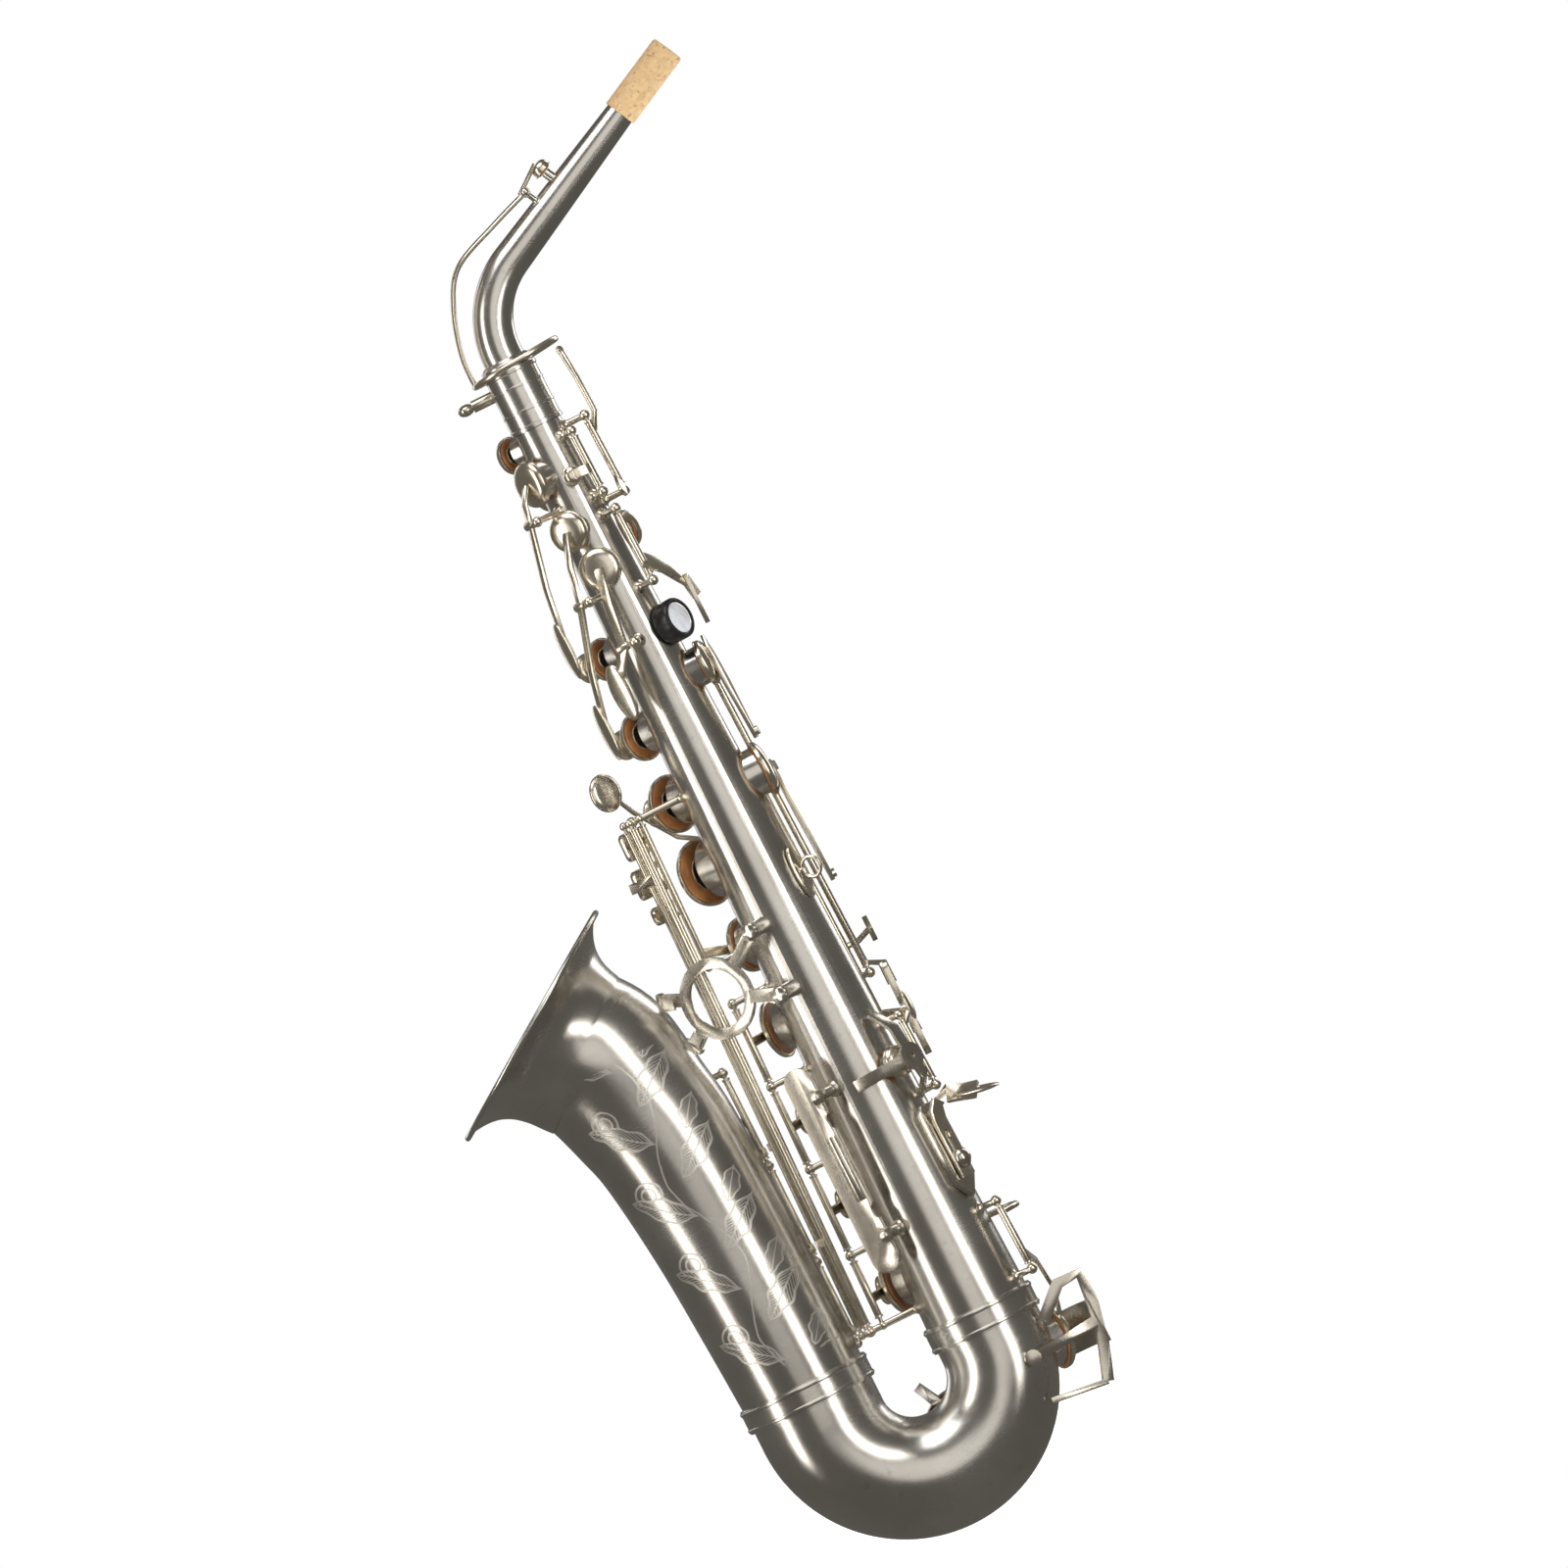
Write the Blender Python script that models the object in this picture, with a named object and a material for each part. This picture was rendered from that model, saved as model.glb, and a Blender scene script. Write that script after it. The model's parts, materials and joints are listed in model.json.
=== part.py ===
# Alto saxophone: every sub-part is its own closed solid, in metres, +Z up.
#
# The body tube stands along Z. The player stands on the +X side, the bell curls up on the -X side,
# and the player's left hand side is -Y. The world origin is the centre of the strap ring.
# The lengths below are millimetres in a frame whose Z axis is the tube's axis; the mesh helpers
# turn them into metres, and the root empty carries the whole design to the strap ring.

import math

import bmesh
import bpy
from mathutils import Matrix, Vector

MM = 0.001
GAP = 0.3  # between neighbouring pieces

# Body tube: a cone that widens downwards.
TUBE_TOP = 245.0
TUBE_BOTTOM = -229.0
TUBE_TOP_RADIUS = 12.3
TAPER = 0.03
WALL = 0.8
CHIMNEY_HEIGHT = 3.5

# Neck.
RECEIVER_TOP = 276.0
RECEIVER_RADIUS = 13.1
TENON_RADIUS = 11.2
NECK_BEND_START = 283.0
NECK_BEND_RADIUS = 44.6
NECK_RISE = 27.0  # degrees above level, of the straight run to the cork
NECK_STRAIGHT = 126.5
NECK_BASE_RADIUS = 10.4
NECK_TIP_RADIUS = 7.1
CORK_LENGTH = 39.0
CORK_RADIUS = 8.3

# Bow and bell.
BOW_RADIUS = 45.75
BOW_STRAIGHT = 18.4
BOW_START_RADIUS = 26.6
BOW_END_RADIUS = 31.4
BELL_THROAT = 40.3
BELL_RIM_RADIUS = 62.5
BELL_FLARE = 8.0
BELL_TILT = 34.0  # degrees, the rim's normal from vertical

# Where things sit round the tube, in degrees from +X.
FRONT = 145.0
BACK = -35.0
RING_ANGLE = -33.0
RING_DISTANCE = 28.1
RING_HEIGHT = -3.3
BRACE_ANGLE = 240.0
BRACE_HEIGHTS = (-18.4, -51.9)
BRACE_OUT = 10.0
BRACE_RING = Vector((-45.1, -10.3, -40.2))
BELL_ROD_ANGLE = 42.0
BELL_POSTS = (-74.0, -124.0, -176.0, -220.0)
CLAMP_Y = 17.8
CLAMP_Z = 268.0
SADDLE = Vector((45.0, 0.0, 349.0))

# Keywork.
ROD = 1.7
POST = 1.7
BALL = 2.6
PAD_BOTTOM = CHIMNEY_HEIGHT + GAP
PAD_TOP = PAD_BOTTOM + 2.4
CUP_RIM = PAD_BOTTOM + 0.8
CUP_FLOOR = PAD_TOP + GAP
CUP_TOP = CUP_FLOOR + 3.0

SATIN = ((0.62, 0.61, 0.59), 0.32, 1.0)
KEYWORK = ((0.80, 0.76, 0.68), 0.18, 1.0)
SHEET = ((0.60, 0.57, 0.53), 0.28, 1.0)
LEATHER = ((0.50, 0.24, 0.09), 0.60, 0.0)
CORK = ((0.76, 0.54, 0.30), 0.85, 0.0)
BLACK = ((0.02, 0.02, 0.02), 0.40, 0.0)
PEARL = ((0.80, 0.83, 0.90), 0.20, 0.0)

Z = Vector((0.0, 0.0, 1.0))
Y = Vector((0.0, 1.0, 0.0))
X = Vector((1.0, 0.0, 0.0))


# ---------------------------------------------------------------- places


def direction(angle):
    """Level unit vector at this many degrees round the tube from +X."""
    turn = math.radians(angle)
    return Vector((math.cos(turn), math.sin(turn), 0.0))


def radius_at(z):
    return TUBE_TOP_RADIUS + (TUBE_TOP - z) * TAPER


def skin(angle, z, out=0.0, side=0.0):
    """A point by the tube's surface: out from it, and to the side, towards larger angles."""
    return direction(angle) * (radius_at(z) + out) + direction(angle + 90.0) * side + Z * z


def outward(angle):
    """The surface normal, which looks up a little because the tube widens downwards."""
    return (direction(angle) + Z * TAPER).normalized()


def lengthwise(angle):
    """Up along the tube's surface."""
    return (Z - direction(angle) * TAPER).normalized()


def axis_matrix(point, axis):
    """Local Z onto the axis, local origin onto the point."""
    turn = Z.rotation_difference(axis.normalized()).to_matrix().to_4x4()
    return Matrix.Translation(point) @ turn


# ---------------------------------------------------------------- solids


def solid(shape):
    """A helper object from a bmesh in millimetres."""
    bmesh.ops.recalc_face_normals(shape, faces=shape.faces)
    bmesh.ops.scale(shape, vec=(MM, MM, MM), verts=shape.verts)
    mesh = bpy.data.meshes.new("helper")
    shape.to_mesh(mesh)
    shape.free()
    helper = bpy.data.objects.new("helper", mesh)
    helper.hide_render = True
    helper.display_type = "WIRE"
    bpy.context.scene.collection.objects.link(helper)
    return helper


def rod(start, end, radius, end_radius=None, sides=8):
    shape = bmesh.new()
    run = end - start
    bmesh.ops.create_cone(
        shape,
        cap_ends=True,
        segments=sides,
        radius1=radius,
        radius2=radius if end_radius is None else end_radius,
        depth=run.length,
        matrix=axis_matrix((start + end) / 2, run),
    )
    return solid(shape)


def ball(centre, radius, stretch=(1.0, 1.0, 1.0), axis=Z, sides=6):
    shape = bmesh.new()
    size = Matrix.Diagonal((*stretch, 1.0))
    place = axis_matrix(centre, axis) @ size
    bmesh.ops.create_uvsphere(shape, u_segments=sides, v_segments=sides // 2 + 1, radius=radius, matrix=place)
    return solid(shape)


def turned(profile, centre, axis, steps=12):
    """A solid turned from (radius, height) points, which start and end on the axis or close in a ring."""
    shape = bmesh.new()
    points = [shape.verts.new((r, 0.0, h)) for r, h in profile]
    pairs = list(zip(points, points[1:]))
    if profile[0][0] > 0.0:
        pairs.append((points[-1], points[0]))
    edges = [shape.edges.new(pair) for pair in pairs]
    bmesh.ops.spin(
        shape,
        geom=points + edges,
        cent=(0, 0, 0),
        axis=(0, 0, 1),
        angle=math.tau,
        steps=steps,
        use_merge=True,
    )
    bmesh.ops.remove_doubles(shape, verts=shape.verts, dist=0.001)
    bmesh.ops.transform(shape, matrix=axis_matrix(centre, axis), verts=shape.verts)
    return solid(shape)


def loft(rings, closed=False):
    """Skins a row of rings. A closed row comes back to its first ring, and an open one is capped."""
    shape = bmesh.new()
    loops = [[shape.verts.new(point) for point in ring] for ring in rings]
    rows = list(zip(loops, loops[1:]))
    if closed:
        rows.append((loops[-1], loops[0]))
    else:
        shape.faces.new(loops[0])
        shape.faces.new(loops[-1])
    for low, high in rows:
        for i, corner in enumerate(low):
            j = (i + 1) % len(low)
            shape.faces.new((corner, low[j], high[j], high[i]))
    return solid(shape)


def tangents(points):
    ends = [points[0], *points, points[-1]]
    return [(after - before).normalized() for before, after in zip(ends, ends[2:])]


def hoops(points, radii, sides):
    """Round rings square to a path, carried along it without twisting."""
    rings = []
    across = None
    for point, along, radius in zip(points, tangents(points), radii):
        start = along.orthogonal() if across is None else across
        across = (start - along * start.dot(along)).normalized()
        up = along.cross(across)
        turns = [math.tau * i / sides for i in range(sides)]
        rings.append([point + (across * math.cos(t) + up * math.sin(t)) * radius for t in turns])
    return rings


def wire(points, radius, sides=8):
    return loft(hoops(points, [radius] * len(points), sides))


def bar(points, facing, width, thickness):
    """A flat strip along a path, its broad face looking the facing way."""
    rings = []
    for point, along in zip(points, tangents(points)):
        side = along.cross(facing).normalized() * width / 2
        lift = side.cross(along).normalized() * thickness / 2
        rings.append([point + side + lift, point - side + lift, point - side - lift, point + side - lift])
    return loft(rings)


def slab(outline, centre, facing, up, thickness):
    """A plate cut to an outline of (across, up) points, its face looking the facing way."""
    across = up.cross(facing).normalized()
    rise = facing.cross(across).normalized()
    flat = [centre + across * a + rise * b for a, b in outline]
    half = facing.normalized() * thickness / 2
    return loft([[point - half for point in flat], [point + half for point in flat]])


def round_outline(width, height, corner, steps=3):
    """A rectangle with round corners, as (across, up) points."""
    points = []
    for quarter in range(4):
        turn = math.tau * quarter / 4
        middle = (
            math.copysign(width / 2 - corner, math.cos(turn + math.pi / 4)),
            math.copysign(height / 2 - corner, math.sin(turn + math.pi / 4)),
        )
        for i in range(steps + 1):
            t = turn + math.tau / 4 * i / steps
            points.append((middle[0] + corner * math.cos(t), middle[1] + corner * math.sin(t)))
    return points


# ---------------------------------------------------------------- objects


def fuse(name, look, joined, cut=()):
    """One named body: the helpers joined, and the cutters taken away."""
    base = joined[0]
    for other, operation in [(o, "UNION") for o in joined[1:]] + [(o, "DIFFERENCE") for o in cut]:
        modifier = base.modifiers.new(operation.lower(), "BOOLEAN")
        modifier.operation = operation
        modifier.solver = "MANIFOLD"
        modifier.object = other
    graph = bpy.context.evaluated_depsgraph_get()
    mesh = bpy.data.meshes.new_from_object(base.evaluated_get(graph))
    mesh.name = name
    for helper in [*joined, *cut]:
        bpy.data.objects.remove(helper)
    mesh.materials.clear()
    mesh.materials.append(painted(name, look))
    mesh.shade_smooth()
    mesh.set_sharp_from_angle(angle=math.radians(40))
    piece = bpy.data.objects.new(name, mesh)
    bpy.context.scene.collection.objects.link(piece)
    piece.parent = ROOT
    return piece


def painted(name, look):
    colour, roughness, metallic = look
    material = bpy.data.materials.new(name)
    material.use_nodes = True
    shader = material.node_tree.nodes["Principled BSDF"]
    shader.inputs["Base Color"].default_value = (*colour, 1.0)
    shader.inputs["Roughness"].default_value = roughness
    shader.inputs["Metallic"].default_value = metallic
    return material


def empty(name, matrix, parent=None):
    made = bpy.data.objects.new(name, None)
    bpy.context.scene.collection.objects.link(made)
    made.empty_display_size = 0.01
    made.parent = parent
    made.matrix_local = matrix
    return made


def hinge(name, point, axis, pieces, opened=0.0):
    """Hangs pieces on an empty whose Z is their joint's axis, turned by the angle at which they rest."""
    place = axis_matrix(point, axis)
    place.translation = point * MM
    pivot = empty(name, place, ROOT)
    move = Matrix.Rotation(math.radians(opened), 4, "Z") @ place.inverted()
    for piece in pieces:
        piece.data.transform(move)
        piece.parent = pivot


# ---------------------------------------------------------------- keywork shapes


def cup(centre, normal, radius):
    """A key cup, with the recess that holds its pad. Heights are above the tube's surface."""
    profile = [
        (0.0, CUP_TOP),
        (radius * 0.7, CUP_TOP - 0.8),
        (radius, CUP_TOP - 3.2),
        (radius, CUP_RIM),
        (radius - 0.6, CUP_RIM),
        (radius - 0.6, CUP_FLOOR),
        (0.0, CUP_FLOOR),
    ]
    return turned(profile, centre, normal, steps=12)


def pad(name, centre, normal, radius):
    edge = radius - 0.6 - GAP
    profile = [(0.0, PAD_TOP), (edge, PAD_TOP), (edge, PAD_BOTTOM + 0.3), (edge - 0.6, PAD_BOTTOM)]
    profile.append((0.0, PAD_BOTTOM))
    return fuse(name, LEATHER, [turned(profile, centre, normal, steps=12)])


def chimney(centre, normal, radius, depth):
    return rod(centre - normal * depth, centre + normal * CHIMNEY_HEIGHT, radius, sides=12)


def chimney_bore(centre, normal, radius, depth):
    """Starts inside the bore and clears the rim, so that it cuts the wall right through."""
    return rod(centre - normal * depth, centre + normal * (CHIMNEY_HEIGHT + 2), radius - 1.2, sides=12)


def post(tip, foot, radius=POST):
    """A post with a ball that holds the end of a rod."""
    return [rod(foot, tip, radius + 0.5, radius, sides=6), ball(tip, BALL)]


def tube_post(tip):
    """A post that stands on the body tube, straight out from its axis."""
    level = Vector((tip.x, tip.y, 0.0)).normalized()
    foot = level * (radius_at(tip.z) - 0.7) + Z * tip.z
    return post(tip, foot)


def button(centre, normal, radius):
    """A finger touch: a shallow round holder."""
    profile = [(0.0, 1.2), (radius * 0.8, 1.2), (radius, 1.8), (radius, 0.0), (radius * 0.7, -1.2), (0.0, -1.4)]
    return turned(profile, centre, normal, steps=10)


def leaf_touch(centre, normal, length, width, thickness):
    """A domed touch like a long drop, along the tube."""
    stretch = (1.0, width / length, thickness / length)
    side = Z.cross(normal).normalized()
    frame = Matrix((Z, side, normal.normalized())).transposed()
    shape = bmesh.new()
    bmesh.ops.create_uvsphere(shape, u_segments=10, v_segments=6, radius=length / 2)
    place = Matrix.Translation(centre) @ frame.to_4x4() @ Matrix.Diagonal((*stretch, 1.0))
    bmesh.ops.transform(shape, matrix=place, verts=shape.verts)
    return solid(shape)


# ---------------------------------------------------------------- where the keys are

# Front stack, from the top: height of the tone hole, cup radius, and the hinge tube's two ends.
UPPER_STACK = {
    "C_key": (130.0, 10.5, 148.0, 110.0),
    "B_key": (89.0, 12.0, 110.0, 72.0),
    "A_key": (53.0, 14.3, 72.0, 36.0),
    "G_key": (16.5, 16.6, 36.0, -2.0),
}
LOWER_STACK = {
    "F_sharp_key": (-67.0, 14.3, -46.0, -90.0),
    "F_key": (-112.0, 14.6, -90.0, -134.0),
    "E_key": (-157.0, 14.8, -134.0, -180.0),
    "D_key": (-203.0, 14.8, -180.0, -216.0),
}
UPPER_ROD = (9.0, -20.0)  # out from the tube, and to the side
LOWER_ROD = (11.0, 24.0)
STACK_OPEN = 12.0  # degrees that an open cup stands off its tone hole
BELL_OPEN = 8.0
LOW_C_OPEN = 8.0

G_SHARP = (-23.6, 13.6)
VENT = (238.0, 9.2)
PALM = {
    "palm_F_key": (216.0, 221.0, 11.4),
    "palm_E_flat_key": (242.0, 192.5, 9.8),
    "palm_D_key": (260.0, 170.0, 10.2),
}
SIDE = {
    "side_C_key": (-8.0, 107.0, 11.6),
    "side_B_flat_key": (6.0, 49.0, 14.0),
    "side_E_key": (35.0, 182.0, 9.5),
}
HIGH_F_SHARP = (118.0, 214.0, 9.0)
TRILL = (-48.0, -106.0, 8.0)
OCTAVE_PIP = (-75.0, 216.0, 4.8)

# Hinges of the palm keys: angle, height, and how far the lever reaches down to its touch.
PALM_PIVOTS = {
    "palm_F_key": (216.0, 203.7, Vector((-35.4, -14.0, 141.5))),
    "palm_E_flat_key": (228.0, 158.0, Vector((-35.8, -15.0, 98.0))),
    "palm_D_key": (250.0, 131.0, Vector((-20.5, -24.0, 112.0))),
}
PALM_REACH = 30.0

# Rods that run along the tube: angle, distance out, and the heights of their two posts.
TUBE_RODS = {
    "side_C_key": (40.0, 12.5, -62.0, 112.0),
    "side_B_flat_key": (50.0, 11.0, -92.0, 54.0),
    "side_E_key": (68.0, 8.0, -56.0, 192.0),
    "high_F_sharp_key": (88.0, 9.0, -40.0, 224.0),
    "F_sharp_trill_key": (-20.0, 9.0, -124.0, -86.0),
    "thumb_octave_lever": (-48.5, 10.5, 154.0, 193.0),
    "octave_rocker": (-14.0, 11.0, 199.0, 240.0),
    "body_octave_key": (-46.0, 7.0, 203.0, 236.0),
    "high_vent_key": (100.0, 7.0, 228.0, 243.0),
    "low_E_flat_key": (-24.0, 9.0, -224.0, -187.0),
    "low_C_key": (87.0, 10.0, -224.0, -178.0),
}

# Left hand table: each lever's rod (out, side), its touch (height, out, side) and the touch's size.
TABLE_TOP = 54.0
TABLE_BOTTOM = -217.0
TABLE_ROD = 1.5
LEVERS = {
    "G_sharp_key": ((13.0, 26.5), (44.0, 26.0, 21.0), (18.0, 14.0)),
    "C_sharp_lever": ((17.0, 27.5), (25.0, 26.0, 13.0), (11.0, 15.0)),
    "B_flat_lever": ((21.0, 29.5), (8.0, 27.0, 20.0), (20.0, 9.0)),
    "B_lever": ((15.5, 32.0), (25.0, 28.0, 25.5), (11.0, 15.0)),
}
G_SHARP_END = -22.0
LEVER_ELBOWS = {"B_lever": (28.0, 36.0), "G_sharp_key": (18.0, 20.0)}
LEVER_FEET = {
    "C_sharp_lever": (-210.0, Vector((-2.0, 11.0, 0.0))),
    "B_lever": (-168.0, Vector((-4.0, -6.0, 0.0))),
    "B_flat_lever": (-116.0, Vector((-2.0, 11.0, 0.0))),
}

# The bell's own key cups look away from the left hand side: height and cup radius.
BELL_KEYS = {"low_B_key": (-150.0, 20.0), "low_B_flat_key": (-100.0, 21.0)}
C_SHARP_HEIGHT = -203.0
C_SHARP_RADIUS = 16.5
LOW_C_TURN = 62.0  # degrees round the bow from the body side
LOW_C_RADIUS = 17.5
LOW_E_FLAT_RADIUS = 14.5
LOW_E_FLAT_HEIGHT = -257.0


# ---------------------------------------------------------------- body, bow, bell


def tone_holes():
    """(angle, height, cup radius) of every tone hole on the body tube."""
    holes = [(FRONT, z, radius) for z, radius, _, _ in [*UPPER_STACK.values(), *LOWER_STACK.values()]]
    holes += [(FRONT, *G_SHARP), (FRONT + 4, *VENT), HIGH_F_SHARP, TRILL, OCTAVE_PIP]
    return holes + list(PALM.values()) + list(SIDE.values())


def sink(z, radius):
    """How far below the surface's crown a chimney of this radius must start."""
    return radius_at(z) - math.sqrt(max(radius_at(z) ** 2 - radius**2, 1.0)) + 1.2


def body_tube():
    floor = radius_at(TUBE_BOTTOM)
    profile = [(0.0, TUBE_BOTTOM), (floor, TUBE_BOTTOM), (TUBE_TOP_RADIUS, TUBE_TOP), (0.0, TUBE_TOP)]
    joined = [turned(profile, Vector(), Z, steps=20)]
    low, high = Z * (TUBE_BOTTOM - 5), Z * (TUBE_TOP + 5)
    cut = [rod(low, high, radius_at(low.z) - WALL, radius_at(high.z) - WALL, sides=20)]
    for angle, z, cup_radius in tone_holes():
        centre, normal, radius = skin(angle, z), outward(angle), cup_radius - 2.0
        joined.append(chimney(centre, normal, radius, sink(z, radius)))
        cut.append(chimney_bore(centre, normal, radius, radius_at(z) * 0.8))
    for tip in post_tips():
        joined += tube_post(tip)
    joined += comb(TABLE_TOP) + comb(TABLE_BOTTOM)
    foot = skin(FRONT, G_SHARP_END - 3, -0.7, 12.0)
    tip = skin(FRONT, G_SHARP_END - 3, *LEVERS["G_sharp_key"][0])
    joined += [rod(foot, tip, 2.0, 1.4), ball(tip, 2.1)]
    for z in BRACE_HEIGHTS:
        stub = skin(BRACE_ANGLE, z, -0.7), skin(BRACE_ANGLE, z, BRACE_OUT - GAP)
        joined.append(rod(*stub, 4.2, 3.6, sides=12))
    fuse("body_tube", SATIN, joined, cut)


def post_tips():
    """Where each post of the body tube holds a rod's end."""
    tips = [skin(FRONT, z, *UPPER_ROD) for z in (148.0, 110.0, 72.0, 36.0, -2.0)]
    tips += [skin(FRONT, z, *LOWER_ROD) for z in (-46.0, -90.0, -134.0, -180.0)]
    for angle, out, low, high in TUBE_RODS.values():
        tips += [skin(angle, low, out), skin(angle, high, out)]
    for angle, z, _ in PALM_PIVOTS.values():
        tips.append(palm_pivot(angle, z) + direction(angle + 90.0) * 6.4)
    return tips


def comb(z):
    """One stout post that carries the ends of the left hand table's rods."""
    places = [rod_at for name, (rod_at, _, _) in LEVERS.items() if z == TABLE_TOP or name != "G_sharp_key"]
    if z == TABLE_BOTTOM:
        places.append(LOWER_ROD)
    tips = [skin(FRONT, z, *place) for place in places]
    middle = skin(FRONT, z, *LEVERS["C_sharp_lever"][0])
    foot = Vector((middle.x, middle.y, 0.0)).normalized() * (radius_at(z) - 0.7) + Z * z
    parts = [rod(foot, middle, 2.6, 1.9)]
    for tip in tips:
        parts.append(ball(tip, 2.1))
        if tip != middle:
            parts.append(rod(middle, tip, 1.5))
    return parts


def bow_turn(turn):
    """Centre and radius of the bow this many degrees round from the body side."""
    angle = math.radians(turn)
    centre = bow_hub() + X * BOW_RADIUS * math.cos(angle) - Z * BOW_RADIUS * math.sin(angle)
    return centre, BOW_START_RADIUS + (BOW_END_RADIUS - BOW_START_RADIUS) * turn / 180.0


def bow():
    start, end = Z * (TUBE_BOTTOM - GAP), Z * (TUBE_BOTTOM - GAP) - X * 2 * BOW_RADIUS
    turns = [180.0 * i / 10 for i in range(11)]
    points = [start] + [bow_turn(turn)[0] for turn in turns] + [end]
    radii = [BOW_START_RADIUS] + [bow_turn(turn)[1] for turn in turns] + [BOW_END_RADIUS]
    joined = [loft(hoops(points, radii, 20))]
    inner = [start + Z * 2, *points[1:-1], end + Z * 2]
    cut = [loft(hoops(inner, [radius - WALL for radius in radii], 20))]
    for centre, normal, radius, depth in (low_c_hole(), low_e_flat_hole()):
        joined.append(chimney(centre, normal, radius - 2.0, depth))
        cut.append(chimney_bore(centre, normal, radius - 2.0, depth + 4))
    fuse("bow", SATIN, joined, cut)


def low_c_hole():
    centre, radius = bow_turn(LOW_C_TURN)
    inward = (bow_hub() - centre).normalized()
    normal = (Y * 0.92 + inward * 0.38).normalized()
    return centre + normal * radius, normal, LOW_C_RADIUS, 9.0


def low_e_flat_hole():
    centre, radius = bow_turn(12.0)
    normal = (X * 0.9 + Y * 0.42 - Z * 0.12).normalized()
    return centre + normal * radius, normal, LOW_E_FLAT_RADIUS, 8.0


def bow_hub():
    return Vector((-BOW_RADIUS, 0.0, TUBE_BOTTOM - BOW_STRAIGHT))


def bell_path():
    """Centres and radii up the bell: a straight cone, a gentle bend, then the flare."""
    foot = Vector((-2 * BOW_RADIUS, 0.0, TUBE_BOTTOM + 0.9))
    tilt = math.radians(BELL_TILT)
    axis = Z * math.cos(tilt) - X * math.sin(tilt)
    rim = Vector((-131.6, 0.0, -11.8))
    flare = [40.0, 26.0, 17.0, 11.0, 7.0, 4.0, 1.6, 0.0]
    curve = [(-92.5, -188.0), (-94.3, -141.5), (-98.0, -94.5), (-102.8, -70.0)]
    widths = [32.8, 34.2, 36.4, 38.0]
    points = [foot] + [Vector((x, 0.0, z)) for x, z in curve] + [rim - axis * t for t in flare]
    top = [BELL_THROAT + (BELL_RIM_RADIUS - BELL_THROAT) * math.exp(-t / BELL_FLARE) for t in flare]
    return points, [BOW_END_RADIUS + 0.2] + widths + top


def bell_section(z):
    """Centre line and radius of the bell's straight part at a height."""
    points, radii = bell_path()
    for low, high, near, far in zip(points, points[1:], radii, radii[1:]):
        if high.z >= z:
            share = (z - low.z) / (high.z - low.z)
            return low.lerp(high, share), near + (far - near) * share
    return points[-1], radii[-1]


def bell_surface(z, angle):
    centre, radius = bell_section(z)
    return centre + direction(angle) * radius, direction(angle)


def bell():
    points, radii = bell_path()
    rim_axis = (points[-1] - points[-2]).normalized()
    joined = [loft(hoops(points, radii, 22))]
    turns = [math.tau * i / 8 for i in range(8)]
    bead = [(BELL_RIM_RADIUS + 1.4 * math.cos(t), 1.4 * math.sin(t)) for t in turns]
    joined.append(turned(bead, points[-1] - rim_axis * 0.4, rim_axis, steps=22))
    inner = hoops([points[0] - Z * 2, *points[1:-1], points[-1] + rim_axis * 3], [r - WALL for r in radii], 22)
    cut = [loft(inner)]
    for z, radius in [*BELL_KEYS.values(), (C_SHARP_HEIGHT, C_SHARP_RADIUS)]:
        centre, normal = bell_surface(z, bell_key_angle(z))
        joined.append(chimney(centre, normal, radius - 2.0, 8.0))
        cut.append(chimney_bore(centre, normal, radius - 2.0, 16.0))
    for z in BELL_POSTS:
        tip, (centre, radius) = bell_rod(z), bell_section(z)
        joined += post(tip, centre + (tip - centre).normalized() * (radius - 0.6))
    fuse("bell", SATIN, joined, cut)


def bell_key_angle(z):
    return 90.0 if z > -180.0 else 112.0


def bell_rod(z):
    """Where the hinge of the bell keys runs, beside their cups."""
    return Vector((-91.5, 0.0, z)) + direction(BELL_ROD_ANGLE) * 43.0


def receiver():
    """The socket that the neck's tenon stands in, split and clamped on its far side."""
    low = TUBE_TOP + GAP
    profile = [
        (TENON_RADIUS - 1.0, low),
        (RECEIVER_RADIUS + 0.5, low),
        (RECEIVER_RADIUS + 0.5, low + 2),
        (RECEIVER_RADIUS, low + 2.6),
        (RECEIVER_RADIUS, RECEIVER_TOP - 2.6),
        (RECEIVER_RADIUS + 0.6, RECEIVER_TOP - 2),
        (RECEIVER_RADIUS + 0.6, RECEIVER_TOP),
        (TENON_RADIUS - 1.0, RECEIVER_TOP),
    ]
    lug_height = Vector((0.0, CLAMP_Y - 2.2, CLAMP_Z))
    joined = [turned(profile, Vector(), Z, steps=20)]
    for x in (-9.0, -1.0):
        joined.append(rod(lug_height + X * (x - 2.2), lug_height + X * (x + 2.2), 4.6, sides=12))
    slit = slab(round_outline(2.4, 22.0, 0.4, 1), Vector((-5.0, 15.0, RECEIVER_TOP - 4)), Y, Z, 12.0)
    hole = rod(Vector((-20, CLAMP_Y, CLAMP_Z)), Vector((12, CLAMP_Y, CLAMP_Z)), 2.0, sides=12)
    core = rod(Z * (low - 1), Z * (RECEIVER_TOP + 1), TENON_RADIUS + GAP, sides=20)
    fuse("neck_receiver", SATIN, joined, [core, slit, hole])


def clamp_screw():
    centre = Vector((-30.0, CLAMP_Y, CLAMP_Z))
    shank = rod(centre, Vector((3.5, CLAMP_Y, CLAMP_Z)), 1.6, sides=10)
    collar = rod(centre + X * 6, Vector((-11.6, CLAMP_Y, CLAMP_Z)), 3.0, sides=12)
    head = ball(centre + X * 2.5, 5.4, (0.55, 1.0, 0.8), X, sides=12)
    screw = fuse("neck_clamp_screw", KEYWORK, [shank, collar, head])
    hinge("clamp_turn", centre, X, [screw])


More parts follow.
